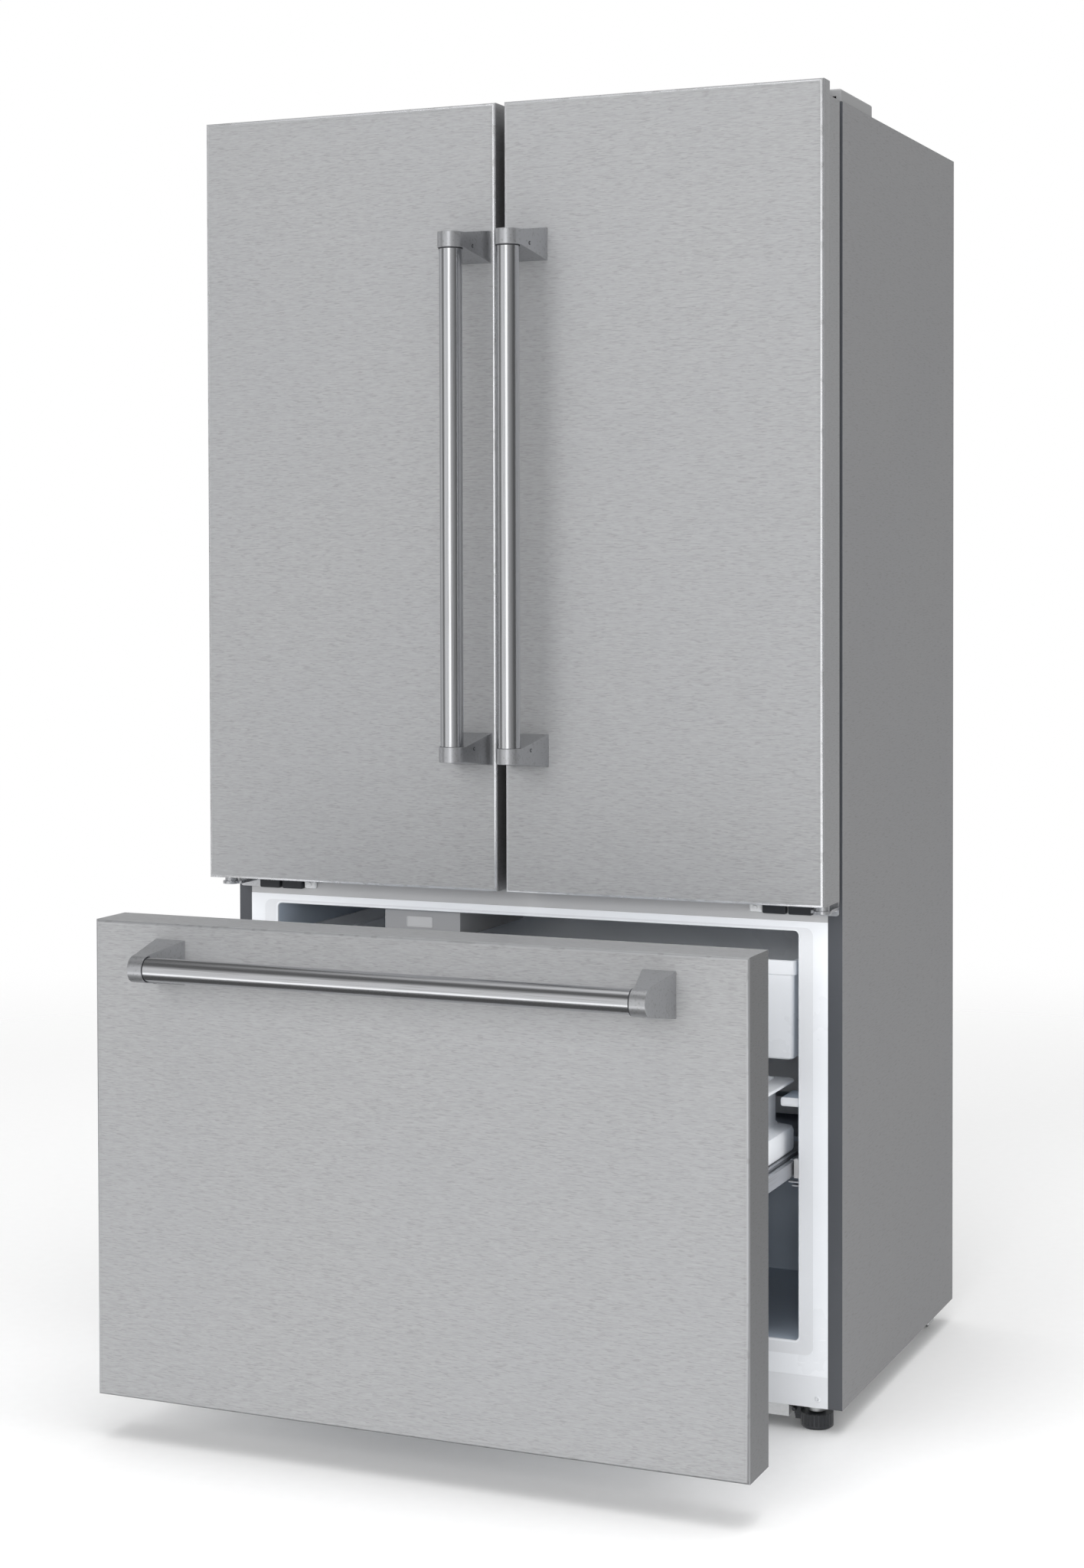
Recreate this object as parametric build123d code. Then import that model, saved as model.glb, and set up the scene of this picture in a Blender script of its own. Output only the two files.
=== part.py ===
from build123d import *
import math
import os

# French door refrigerator with a bottom freezer drawer, stored with the doors shut and the
# drawer pulled out. Millimetres. Every piece is modelled with x = 0 on the centre line, y = 0
# on the front of the cabinet (+y to the back) and z = 0 on the floor.

# ---- cabinet ----
CABINET_WIDTH = 908.0
CABINET_DEPTH = 587.0
CABINET_TOP = 1763.0
CABINET_BOTTOM = 33.0
SHEET = 1.2
FLANGE = 20.0
LINER = 2.0
FIT_GAP = 0.3
TOUCH_GAP = 0.2

FRIDGE_WALL = 48.0
FRIDGE_BACK_WALL = 60.0
FRIDGE_TOP_WALL = 50.0
FRIDGE_FLOOR = 745.0
FREEZER_WALL = 62.0
FREEZER_BACK_WALL = 67.0
FREEZER_FLOOR = 120.0
FREEZER_CEILING = 668.0
FREEZER_LINER_BOTTOM = 75.0
FREEZER_LINER_TOP = 682.0
GROOVE = 1.6
GROOVE_OUT = 23.0

MACHINE_FRONT = 380.0
MACHINE_TOP = 280.0
MACHINE_WALL = 35.0

# ---- doors and drawer front ----
DOOR_TOP = 1780.0
DOOR_BOTTOM = 712.5
DRAWER_TOP = 690.0
DRAWER_BOTTOM = 58.0
PANEL_THICKNESS = 73.0
GASKET_SPACE = 14.0
DOOR_GAP = 13.0
EDGE_RADIUS = 4.0
SKIN = 1.2
INNER_SHEET = 2.0
DRAWER_OPENING = 300.0

DYKE_WIDTH = 14.0
DYKE_DEPTH = 39.0
DYKE_OUT = 55.0
DYKE_GASKET_GAP = 2.0
DYKE_ENDS = 44.5
DYKE_HEADROOM = 11.5
GASKET_WIDTH = 18.0
GASKET_OUT = 28.0
GASKET_IN = 5.5
GASKET_END = 9.5
GASKET_TOP = 30.0
DRAWER_GASKET_LOW = 32.0
DRAWER_GASKET_HIGH = 2.0

# ---- handles ----
BAR_RADIUS = 15.5
NOSE_RADIUS = 17.5
BAR_STANDOFF = 67.5
FOOT_LENGTH = 44.0
FOOT_WIDTH = 58.0
NOSE_START = 8.0
NOSE_LENGTH = 21.0
BORE_DEPTH = 13.0
BORE_GAP = 0.05
DOOR_HANDLE_INSET = 35.0
DOOR_HANDLE_END = 172.0
DRAWER_HANDLE_DROP = 50.0
DRAWER_HANDLE_END = 92.0

# ---- hinges ----
HINGE_INSET = 13.0
HINGE_BEHIND_FACE = 40.0
TOP_PIN_RADIUS = 4.0
BOTTOM_PIN_RADIUS = 5.0
PIN_GAP = 0.06
KNUCKLE_RADIUS = 9.0
KNUCKLE_GAP = 2.0
NOTCH_WIDTH = 59.0
NOTCH_DROP = 18.5
HINGE_PLATE = 4.0
TOP_PIN_DEPTH = 24.0
BOTTOM_PIN_DEPTH = 22.0
BRACKET_DROP = 8.5
LEAF = 3.0
LEAF_LOW = 691.5
LEAF_HIGH = 756.0
LEAF_FOOT_TOP = 716.0
LEAF_FOOT_WIDTH = 34.0
LEAF_WIDTH = 19.0
LEAF_INSET = 4.0
SCREW_RADIUS = 3.2
COVER_WIDTH = 66.0
COVER_DEPTH = 145.0
COVER_HEIGHT = 17.0
COVER_WALL = 2.0

# ---- flipping centre mullion ----
MULLION_LEFT = 44.0
MULLION_OVERLAP = 4.0
MULLION_GASKET_GAP = 4.0
MULLION_THICK = 12.0
MULLION_END = 17.5
MULLION_PIN = 2.5
MULLION_PIVOT_IN = 6.0
LUG = 7.0

# ---- shelves, crispers and bins ----
SHELF_FRONT = 112.0
SHELF_THICK = 5.0
SHELF_LEVELS = (940.0, 1180.0, 1430.0)
SHELF_DEPTH = 385.0
LEDGE = 9.0
LEDGE_HEIGHT = 10.0
CRISPER_FRONT = 152.0
CRISPER_DEPTH = 345.0
CRISPER_HEADROOM = 4.0
CRISPER_SIDE_GAP = 4.0
CRISPER_WALL = 3.0
BIN_DEPTH = 108.0
BIN_HEIGHT = 112.0
BIN_WALL = 3.0
BIN_LEVELS = (790.0, 1060.0, 1370.0)
BIN_SIDE_GAP = 1.5

# ---- freezer baskets and rails ----
RAIL_Z = 343.0
RAIL_HEIGHT = 38.0
RAIL_SHEET = 2.0
RAIL_LENGTH = 400.0
RAIL_START = 10.0
RAIL_REACH = 11.0
TRAY_HALF = 372.0
TRAY_NECK = 346.0
TRAY_BOTTOM = 364.0
TRAY_SHOULDER = 399.0
TRAY_TOP = 461.0
TRAY_LENGTH = 365.0
WELL_HALF = 338.0
WELL_BOTTOM = 140.0
WELL_LENGTH = 338.0
BASKET_WALL = 3.0
RIM = 5.0
BASKET_CORNER = 12.0
UPPER_FRONT = 10.0
UPPER_DEPTH = 425.0
UPPER_BOTTOM = 493.0
UPPER_TOP = 627.0
UPPER_SIDE_GAP = 6.0

# ---- feet and rollers ----
FOOT_X = 410.0
FOOT_Y = 30.0
FOOT_RADIUS = 22.0
FOOT_KNOB = 20.0
FOOT_GROOVES = 24
STUD_RADIUS = 5.0
ROLLER_X = 420.0
ROLLER_Y = 540.0
ROLLER_RADIUS = 15.0
ROLLER_WIDTH = 18.0
AXLE_RADIUS = 4.0

# ---- lengths that follow from those ----
HALF = CABINET_WIDTH / 2
FACE = -(GASKET_SPACE + PANEL_THICKNESS)
PANEL_BACK = -GASKET_SPACE
FRIDGE_HALF = HALF - FRIDGE_WALL
FRIDGE_BACK = CABINET_DEPTH - FRIDGE_BACK_WALL
FRIDGE_CEILING = CABINET_TOP - FRIDGE_TOP_WALL
FREEZER_HALF = HALF - FREEZER_WALL
FREEZER_BACK = CABINET_DEPTH - FREEZER_BACK_WALL
FREEZER_STEP_Y = MACHINE_FRONT - MACHINE_WALL
FREEZER_STEP_Z = MACHINE_TOP + MACHINE_WALL + LINER
BAR_Y = FACE - BAR_STANDOFF
HINGE_X = HALF - HINGE_INSET
HINGE_Y = FACE + HINGE_BEHIND_FACE
BRACKET_Z = DOOR_BOTTOM - BRACKET_DROP
CRISPER_TOP = SHELF_LEVELS[0] - SHELF_THICK - LEDGE_HEIGHT - CRISPER_HEADROOM
ORIGIN_Y = (BAR_Y - NOSE_RADIUS - DRAWER_OPENING + CABINET_DEPTH) / 2


def block(x0, x1, y0, y1, z0, z1):
    """A box between two corners."""
    centre = Pos((x0 + x1) / 2, (y0 + y1) / 2, (z0 + z1) / 2)
    return centre * Box(x1 - x0, y1 - y0, z1 - z0)


def rod(radius, x, y, z0, z1):
    """An upright cylinder between two heights."""
    return Pos(x, y, (z0 + z1) / 2) * Cylinder(radius, z1 - z0)


def rod_x(radius, x0, x1, y, z):
    """A cylinder lying along x."""
    return Pos((x0 + x1) / 2, y, z) * Rot(0, 90, 0) * Cylinder(radius, x1 - x0)


def rod_y(radius, x, y0, y1, z):
    """A cylinder lying along y."""
    return Pos(x, (y0 + y1) / 2, z) * Rot(90, 0, 0) * Cylinder(radius, y1 - y0)


def frame_ring(x0, x1, y0, y1, z0, z1, width):
    """A picture frame standing in the x-z plane."""
    hole = block(x0 + width, x1 - width, y0 - 1, y1 + 1, z0 + width, z1 - width)
    return block(x0, x1, y0, y1, z0, z1) - hole


def open_box(x0, x1, y0, y1, z0, z1, wall):
    """A box with an open top."""
    inside = block(x0 + wall, x1 - wall, y0 + wall, y1 - wall, z0 + wall, z1 + 1)
    return block(x0, x1, y0, y1, z0, z1) - inside


def flipped(shape):
    """The same piece on the other side of the centre line."""
    return mirror(shape, about=Plane.YZ)


def pair(shape):
    """A right-hand piece and its left-hand twin."""
    return [shape, flipped(shape)]


# ---- casing ----
def side_panel():
    plate = block(HALF - SHEET, HALF, 0, CABINET_DEPTH, CABINET_BOTTOM, CABINET_TOP)
    flange = block(HALF - FLANGE, HALF - SHEET, 0, SHEET, CABINET_BOTTOM, CABINET_TOP)
    return plate + flange


def top_panel():
    inside = HALF - SHEET
    plate = block(-inside, inside, 0, CABINET_DEPTH - SHEET, CABINET_TOP - SHEET, CABINET_TOP)
    lip_half = HALF - FLANGE
    lip = block(-lip_half, lip_half, 0, SHEET, CABINET_TOP - FLANGE, CABINET_TOP - SHEET)
    plate -= block(lip_half, HALF, -1, SHEET, CABINET_TOP - FLANGE, CABINET_TOP + 1)
    plate -= block(-HALF, -lip_half, -1, SHEET, CABINET_TOP - FLANGE, CABINET_TOP + 1)
    return plate + lip


def back_panel():
    """Sheet with two pressed grooves that stiffen it."""
    inside = HALF - SHEET
    back = block(-inside, inside, CABINET_DEPTH - SHEET, CABINET_DEPTH, MACHINE_TOP, CABINET_TOP)
    groove_half = inside - 60
    groove_floor = CABINET_DEPTH - SHEET / 2
    for level in (620.0, 1240.0):
        back -= block(-groove_half, groove_half, groove_floor, CABINET_DEPTH + 1, level, level + 8)
    return back


PAN_SHEET = 1.5
PAN_FLOOR = CABINET_BOTTOM + PAN_SHEET
BEAM_HALF = 375.0
BEAM_FRONT = 16.0
BEAM_BACK = 30.0
BEAM_BOTTOM = 12.0
BEAM_SHEET = 2.0
BOSS_RADIUS = 12.0
BOSS_TOP = CABINET_BOTTOM + 26.0
EAR = 3.0
EAR_GAP = 1.0
EAR_HALF = 14.0
EAR_BOTTOM = 6.0


def base_pan():
    """Pan with a toe beam, threaded bosses for the feet and forked ears with axle pins for the rollers."""
    inside = HALF - SHEET
    pan = block(-inside, inside, LINER + TOUCH_GAP, CABINET_DEPTH - SHEET, CABINET_BOTTOM, PAN_FLOOR)
    pan += block(-BEAM_HALF, BEAM_HALF, BEAM_FRONT, BEAM_BACK, BEAM_BOTTOM, CABINET_BOTTOM)
    hollow_half = BEAM_HALF - BEAM_SHEET
    pan -= block(-hollow_half, hollow_half, BEAM_FRONT + BEAM_SHEET, BEAM_BACK + 1,
                 BEAM_BOTTOM - 1, CABINET_BOTTOM - BEAM_SHEET)
    for side in (-1, 1):
        pan += rod(BOSS_RADIUS, side * FOOT_X, FOOT_Y, FOOT_KNOB + 2, BOSS_TOP)
        pan -= rod(STUD_RADIUS + PIN_GAP, side * FOOT_X, FOOT_Y, 0, BOSS_TOP - 2)
        centre = side * ROLLER_X
        near = ROLLER_WIDTH / 2 + EAR_GAP
        for x0 in (centre - near - EAR, centre + near):
            pan += block(x0, x0 + EAR, ROLLER_Y - EAR_HALF, ROLLER_Y + EAR_HALF,
                         EAR_BOTTOM, CABINET_BOTTOM + 1)
        half_axle = near + EAR + 1
        pan += rod_x(AXLE_RADIUS, centre - half_axle, centre + half_axle, ROLLER_Y, ROLLER_RADIUS)
    return pan


def fridge_cavity(grow):
    half = FRIDGE_HALF + grow
    return block(-half, half, -5, FRIDGE_BACK + grow, FRIDGE_FLOOR - grow, FRIDGE_CEILING + grow)


def freezer_cavity(grow):
    half = FREEZER_HALF + grow
    deep = block(-half, half, -5, FREEZER_STEP_Y + grow, FREEZER_FLOOR - grow, FREEZER_CEILING + grow)
    over = block(-half, half, -5, FREEZER_BACK + grow, FREEZER_STEP_Z - grow, FREEZER_CEILING + grow)
    return deep + over


def cabinet_foam():
    inside = HALF - SHEET - TOUCH_GAP
    front = LINER + TOUCH_GAP
    bottom = PAN_FLOOR + TOUCH_GAP
    back = CABINET_DEPTH - SHEET - TOUCH_GAP
    foam = block(-inside, inside, front, back, bottom, CABINET_TOP - SHEET - TOUCH_GAP)
    foam -= fridge_cavity(LINER)
    foam -= freezer_cavity(LINER)
    foam -= block(-HALF, HALF, MACHINE_FRONT, CABINET_DEPTH, 0, MACHINE_TOP)
    for side in (-1, 1):
        foam -= rod(BOSS_RADIUS + 1, side * FOOT_X, FOOT_Y, 0, BOSS_TOP + 1)
    return foam


def fridge_liner():
    flange_half = HALF - FLANGE
    top = CABINET_TOP - FLANGE
    liner = fridge_cavity(LINER) & block(-HALF, HALF, 0, CABINET_DEPTH, 0, CABINET_TOP)
    liner += block(-flange_half, flange_half, 0, LINER, FRIDGE_FLOOR - LINER, top)
    liner -= fridge_cavity(0)
    for level in SHELF_LEVELS:
        for side in (-1, 1):
            wall = side * (FRIDGE_HALF + LINER / 2)
            tip = side * (FRIDGE_HALF - LEDGE)
            ledge = block(min(wall, tip), max(wall, tip), SHELF_FRONT, SHELF_FRONT + SHELF_DEPTH,
                          level - SHELF_THICK - LEDGE_HEIGHT, level - SHELF_THICK)
            liner += ledge
    return liner


def freezer_liner():
    flange_half = HALF - FLANGE
    liner = freezer_cavity(LINER) & block(-HALF, HALF, 0, CABINET_DEPTH, 0, CABINET_TOP)
    liner += block(-flange_half, flange_half, 0, LINER, FREEZER_LINER_BOTTOM, FREEZER_LINER_TOP)
    liner -= freezer_cavity(0)
    half = FREEZER_HALF + GROOVE_OUT
    low = FREEZER_FLOOR - GROOVE_OUT
    high = FREEZER_CEILING + GROOVE_OUT / 3
    liner -= frame_ring(-half, half, -1, LINER / 2, low, high, GROOVE)
    return liner


def mullion_cover():
    half = HALF - FLANGE
    strip = block(-half, half, 0, LINER, FREEZER_LINER_TOP, FRIDGE_FLOOR - LINER)
    return strip


def base_cover():
    half = HALF - FLANGE
    cover = block(-half, half, 0, LINER, CABINET_BOTTOM, FREEZER_LINER_BOTTOM)
    for side in (-1, 1):
        cover -= rod_y(3, side * (half - 14), -1, LINER + 1, CABINET_BOTTOM + 12)
    return cover


# ---- door hinges ----
def top_hinge():
    base = block(HINGE_X - 46, HINGE_X + 5, 4, COVER_DEPTH - 8, CABINET_TOP, CABINET_TOP + HINGE_PLATE)
    for step in (30, 75, 120):
        base -= rod(SCREW_RADIUS, HINGE_X - 24, step, CABINET_TOP - 1, CABINET_TOP + HINGE_PLATE + 1)
    arm = block(HINGE_X - 16, HINGE_X + 2, HINGE_Y, 6, CABINET_TOP, CABINET_TOP + HINGE_PLATE)
    knuckle = rod(KNUCKLE_RADIUS, HINGE_X, HINGE_Y, CABINET_TOP, DOOR_TOP - 1)
    pin = rod(TOP_PIN_RADIUS, HINGE_X, HINGE_Y, DOOR_TOP - NOTCH_DROP - TOP_PIN_DEPTH, CABINET_TOP + 1)
    return base + arm + knuckle + pin


def top_hinge_cover():
    outer = HALF - 2
    inner = outer - COVER_WIDTH
    top = CABINET_TOP + COVER_HEIGHT
    cover = block(inner, outer, 0, COVER_DEPTH, CABINET_TOP, top)
    upper_edges = cover.edges().filter_by(GeomType.LINE).group_by(Axis.Z)[-1]
    cover = fillet(upper_edges, 3)
    cover -= block(inner + COVER_WALL, outer - COVER_WALL, COVER_WALL, COVER_DEPTH - COVER_WALL,
                   CABINET_TOP - 1, top - COVER_WALL)
    cover -= block(HINGE_X - 18, HINGE_X + 4, -1, COVER_WALL + 1, CABINET_TOP - 1, CABINET_TOP + 7)
    return cover


def middle_hinge():
    """Flat arm under the door on a leaf screwed to the cabinet front, hidden behind the door."""
    low = BRACKET_Z - HINGE_PLATE
    plate = block(HINGE_X - 16, HALF - LEAF_INSET, HINGE_Y, -LEAF, low, BRACKET_Z)
    nose = rod(KNUCKLE_RADIUS + 3, HINGE_X, HINGE_Y, low, BRACKET_Z)
    edge = HALF - LEAF_INSET
    leaf = block(edge - LEAF_WIDTH, edge, -LEAF, 0, LEAF_LOW, LEAF_HIGH)
    leaf += block(edge - LEAF_FOOT_WIDTH, edge, -LEAF, 0, LEAF_LOW, LEAF_FOOT_TOP)
    leaf = fillet(leaf.edges().filter_by(Axis.Y).group_by(Axis.X)[-1], 4)
    collar = rod(KNUCKLE_RADIUS, HINGE_X, HINGE_Y, BRACKET_Z, DOOR_BOTTOM - 1)
    pin = rod(BOTTOM_PIN_RADIUS, HINGE_X, HINGE_Y, BRACKET_Z, DOOR_BOTTOM + BOTTOM_PIN_DEPTH)
    hinge = plate + nose + leaf + collar + pin
    for below in (12, 34):
        hinge -= rod_y(SCREW_RADIUS, edge - LEAF_WIDTH / 2, -LEAF - 1, 1, LEAF_HIGH - below)
    return hinge


# ---- handles ----
def handle_bracket():
    """Foot on the door at y = 0, bar along x, standing out along +y."""
    reach = math.hypot(BAR_STANDOFF, FOOT_WIDTH / 2)
    lean = math.asin(NOSE_RADIUS / reach) - math.atan2(FOOT_WIDTH / 2, BAR_STANDOFF)
    run = math.sqrt(reach ** 2 - NOSE_RADIUS ** 2)
    touch_y = run * math.cos(lean)
    touch_z = FOOT_WIDTH / 2 + run * math.sin(lean)
    tip = BAR_STANDOFF + NOSE_RADIUS
    with BuildSketch(Plane.YZ) as end_view:
        with BuildLine():
            Line((0, -FOOT_WIDTH / 2), (0, FOOT_WIDTH / 2))
            Line((0, FOOT_WIDTH / 2), (touch_y, touch_z))
            ThreePointArc((touch_y, touch_z), (tip, 0), (touch_y, -touch_z))
            Line((touch_y, -touch_z), (0, -FOOT_WIDTH / 2))
        make_face()
    with BuildSketch(Plane.XY) as side_view:
        with BuildLine():
            Polyline((0, 0), (FOOT_LENGTH, 0), (NOSE_START + NOSE_LENGTH, BAR_STANDOFF - 4),
                     (NOSE_START + NOSE_LENGTH, tip + 1), (NOSE_START, tip + 1),
                     (NOSE_START, BAR_STANDOFF - 4), (0, 0))
        make_face()
    body = extrude(end_view.sketch, FOOT_LENGTH) & extrude(side_view.sketch, FOOT_WIDTH, both=True)
    bore_end = NOSE_START + NOSE_LENGTH - BORE_DEPTH
    bore = rod_x(BAR_RADIUS + BORE_GAP, bore_end, FOOT_LENGTH, BAR_STANDOFF, 0)
    return body - bore


def place_bracket(corner, inward):
    """Stand a bracket on a front face with its bar running along the inward direction."""
    spot = Plane(origin=corner, x_dir=inward, z_dir=Vector(inward).cross(Vector(0, -1, 0)))
    return spot.location * handle_bracket()


BAR_END = NOSE_START + NOSE_LENGTH - BORE_DEPTH + 0.5


def door_handle_brackets():
    x = DOOR_GAP / 2 + DOOR_HANDLE_INSET
    upper = place_bracket((x, FACE, DOOR_TOP - DOOR_HANDLE_END), (0, 0, -1))
    lower = place_bracket((x, FACE, DOOR_BOTTOM + DOOR_HANDLE_END), (0, 0, 1))
    return [upper, lower]


def door_handle_bar():
    x = DOOR_GAP / 2 + DOOR_HANDLE_INSET
    low = DOOR_BOTTOM + DOOR_HANDLE_END + BAR_END
    high = DOOR_TOP - DOOR_HANDLE_END - BAR_END
    return rod(BAR_RADIUS, x, BAR_Y, low, high)


def drawer_handle_brackets():
    z = DRAWER_TOP - DRAWER_HANDLE_DROP
    end = HALF - DRAWER_HANDLE_END
    right = place_bracket((end, FACE, z), (-1, 0, 0))
    left = place_bracket((-end, FACE, z), (1, 0, 0))
    return [right, left]


def drawer_handle_bar():
    end = HALF - DRAWER_HANDLE_END - BAR_END
    return rod_x(BAR_RADIUS, -end, end, BAR_Y, DRAWER_TOP - DRAWER_HANDLE_DROP)


# ---- front panels: stainless skin, foam core, moulded inner sheet and gasket ----
def panel_skin(x0, x1, z0, z1):
    shell = block(x0, x1, FACE, PANEL_BACK, z0, z1)
    front_edges = shell.edges().group_by(Axis.Y)[0]
    shell = fillet(front_edges, EDGE_RADIUS)
    hollow = block(x0 + SKIN, x1 - SKIN, FACE + SKIN, PANEL_BACK + 1, z0 + SKIN, z1 - SKIN)
    hollow = fillet(hollow.edges().group_by(Axis.Y)[0], EDGE_RADIUS - SKIN)
    return shell - hollow


def panel_foam(x0, x1, z0, z1):
    edge = SKIN
    core = block(x0 + edge, x1 - edge, FACE + edge, PANEL_BACK - INNER_SHEET, z0 + edge, z1 - edge)
    return fillet(core.edges().group_by(Axis.Y)[0], EDGE_RADIUS - SKIN)


def hinge_notch(grow):
    front = HINGE_Y - KNUCKLE_RADIUS - KNUCKLE_GAP - grow
    inner = HALF - NOTCH_WIDTH - grow
    return block(inner, HALF + 1, front, 1, DOOR_TOP - NOTCH_DROP - grow, DOOR_TOP + 1)


def hinge_holes():
    top = rod(TOP_PIN_RADIUS + PIN_GAP, HINGE_X, HINGE_Y, DOOR_TOP - NOTCH_DROP - TOP_PIN_DEPTH - 1, DOOR_TOP)
    socket_top = DOOR_BOTTOM + BOTTOM_PIN_DEPTH + 1
    low = rod(BOTTOM_PIN_RADIUS + PIN_GAP, HINGE_X, HINGE_Y, DOOR_BOTTOM - 1, socket_top)
    return top + low


def door_skin():
    skin = panel_skin(DOOR_GAP / 2, HALF, DOOR_BOTTOM, DOOR_TOP)
    pocket = hinge_notch(SKIN) & block(0, HALF, FACE + EDGE_RADIUS, PANEL_BACK, DOOR_BOTTOM, DOOR_TOP)
    return skin + pocket - hinge_notch(0) - hinge_holes()


def door_foam():
    return panel_foam(DOOR_GAP / 2, HALF, DOOR_BOTTOM, DOOR_TOP) - hinge_notch(SKIN) - hinge_holes()


def door_dyke_box():
    x0 = MULLION_LEFT + MULLION_GASKET_GAP + GASKET_WIDTH + DYKE_GASKET_GAP
    x1 = HALF - DYKE_OUT
    z0 = DOOR_BOTTOM + DYKE_ENDS
    return x0, x1, z0, FRIDGE_CEILING - DYKE_HEADROOM


def door_inner():
    x0 = DOOR_GAP / 2 + SKIN
    sheet = block(x0, HALF - SKIN, PANEL_BACK - INNER_SHEET, PANEL_BACK, DOOR_BOTTOM + SKIN, DOOR_TOP - SKIN)
    a0, a1, b0, b1 = door_dyke_box()
    dyke = frame_ring(a0, a1, PANEL_BACK, PANEL_BACK + DYKE_DEPTH, b0, b1, DYKE_WIDTH)
    dyke = fillet(dyke.edges().group_by(Axis.Y)[-1], 4)
    return sheet + dyke - hinge_notch(SKIN)


def gasket_ring(x0, x1, z0, z1):
    return frame_ring(x0, x1, PANEL_BACK + TOUCH_GAP, -FIT_GAP, z0, z1, GASKET_WIDTH)


def door_gasket(inner_edge):
    return gasket_ring(inner_edge, HALF - GASKET_OUT, DOOR_BOTTOM + GASKET_END, DOOR_TOP - GASKET_TOP)


def door_bins():
    a0, a1, b0, b1 = door_dyke_box()
    x0 = a0 + DYKE_WIDTH + BIN_SIDE_GAP
    x1 = a1 - DYKE_WIDTH - BIN_SIDE_GAP
    bins = []
    for level in BIN_LEVELS:
        bins.append(open_box(x0, x1, PANEL_BACK + TOUCH_GAP, PANEL_BACK + BIN_DEPTH,
                             level, level + BIN_HEIGHT, BIN_WALL))
    return bins


# ---- flipping mullion on the left door ----
MULLION_LOW = DOOR_BOTTOM + MULLION_END
MULLION_HIGH = DOOR_TOP - GASKET_TOP - FIT_GAP
MULLION_X = -MULLION_LEFT + MULLION_PIVOT_IN
MULLION_Y = PANEL_BACK + 1 + MULLION_THICK / 2


def centre_mullion():
    right = DOOR_GAP / 2 - MULLION_OVERLAP
    front = PANEL_BACK + 1
    bar = block(-MULLION_LEFT, right, front, front + MULLION_THICK, MULLION_LOW, MULLION_HIGH)
    bar = fillet(bar.edges().filter_by(Axis.Z).group_by(Axis.X)[0], 5)
    bar = fillet(bar.edges().filter_by(Axis.Z).group_by(Axis.X)[-1], 2.5)
    bar += rod(MULLION_PIN, MULLION_X, MULLION_Y, MULLION_LOW - LUG + 1, MULLION_HIGH + LUG - 1)
    return bar


def mullion_lugs():
    """Ears on the door that hold the mullion's pins."""
    lugs = []
    front = PANEL_BACK - INNER_SHEET / 2
    for z0 in (MULLION_LOW - LUG, MULLION_HIGH + FIT_GAP):
        lug = block(-MULLION_LEFT, -MULLION_LEFT + 12, front, -1, z0, z0 + LUG - FIT_GAP)
        lugs.append(lug - rod(MULLION_PIN + PIN_GAP, MULLION_X, MULLION_Y, z0 - 1, z0 + LUG + 1))
    return lugs


# ---- fridge interior ----
def glass_shelves():
    shelves = []
    half = FRIDGE_HALF - 1.5
    for level in SHELF_LEVELS:
        pane = block(-half, half, SHELF_FRONT, SHELF_FRONT + SHELF_DEPTH, level - SHELF_THICK, level)
        pane = fillet(pane.edges().filter_by(Axis.Z), 10)
        shelves.append(pane)
    return shelves


def crisper():
    x0 = CRISPER_SIDE_GAP
    x1 = FRIDGE_HALF - CRISPER_SIDE_GAP
    z0 = FRIDGE_FLOOR + FIT_GAP
    back = CRISPER_FRONT + CRISPER_DEPTH
    drawer = open_box(x0, x1, CRISPER_FRONT, back, z0, CRISPER_TOP, CRISPER_WALL)
    grip = block(x0 + 60, x1 - 60, CRISPER_FRONT - 14, CRISPER_FRONT + 1, CRISPER_TOP - 26, CRISPER_TOP - 6)
    grip -= block(x0 + 64, x1 - 64, CRISPER_FRONT - 10, CRISPER_FRONT, z0, CRISPER_TOP - 10)
    return drawer + grip


DUCT_HALF = 120.0
DUCT_DEPTH = 22.0
DUCT_WALL = 4.0
DUCT_BOTTOM = 965.0
DUCT_TOP_GAP = 23.0
SLOT = 6.0
SLOT_PITCH = 14.0


def air_duct():
    """Closed duct on the back wall with a group of three outlet slots above each shelf."""
    front = FRIDGE_BACK - DUCT_DEPTH
    top = FRIDGE_CEILING - DUCT_TOP_GAP
    duct = block(-DUCT_HALF, DUCT_HALF, front, FRIDGE_BACK - TOUCH_GAP, DUCT_BOTTOM, top)
    duct = fillet(duct.edges().filter_by(Axis.Z).group_by(Axis.Y)[0], 8)
    inside = DUCT_HALF - 20
    duct -= block(-inside, inside, front + DUCT_WALL, FRIDGE_BACK - DUCT_WALL, DUCT_BOTTOM + 20, top - 20)
    for shelf in SHELF_LEVELS:
        for row in range(3):
            z = shelf + 100 + row * SLOT_PITCH
            duct -= block(-70, 70, front - 1, front + DUCT_WALL + 1, z, z + SLOT)
    return duct


# ---- freezer interior ----
ICE_LEFT = -226.0
ICE_RIGHT = -108.0
ICE_FRONT = 14.0
ICE_DEPTH = 226.0
ICE_WALL = 6.0


def ice_maker():
    back = ICE_FRONT + ICE_DEPTH
    bottom = UPPER_TOP + 3
    body = block(ICE_LEFT, ICE_RIGHT, ICE_FRONT, back, bottom, FREEZER_CEILING - TOUCH_GAP)
    body = fillet(body.edges().filter_by(Axis.Y), 3)
    body -= block(ICE_LEFT + ICE_WALL, ICE_RIGHT - ICE_WALL, ICE_FRONT + ICE_WALL, back - ICE_WALL,
                  bottom + ICE_WALL, FREEZER_CEILING - ICE_WALL)
    return body


EVAP_COVER_Y = FREEZER_BACK - 65
EVAP_SHEET = 3.0
FAN_Z = 610.0
FAN_Y = FREEZER_BACK - 38
FAN_RADIUS = 42.0
HUB_SHARE = 0.3
BORE_SHARE = 0.12


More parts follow.
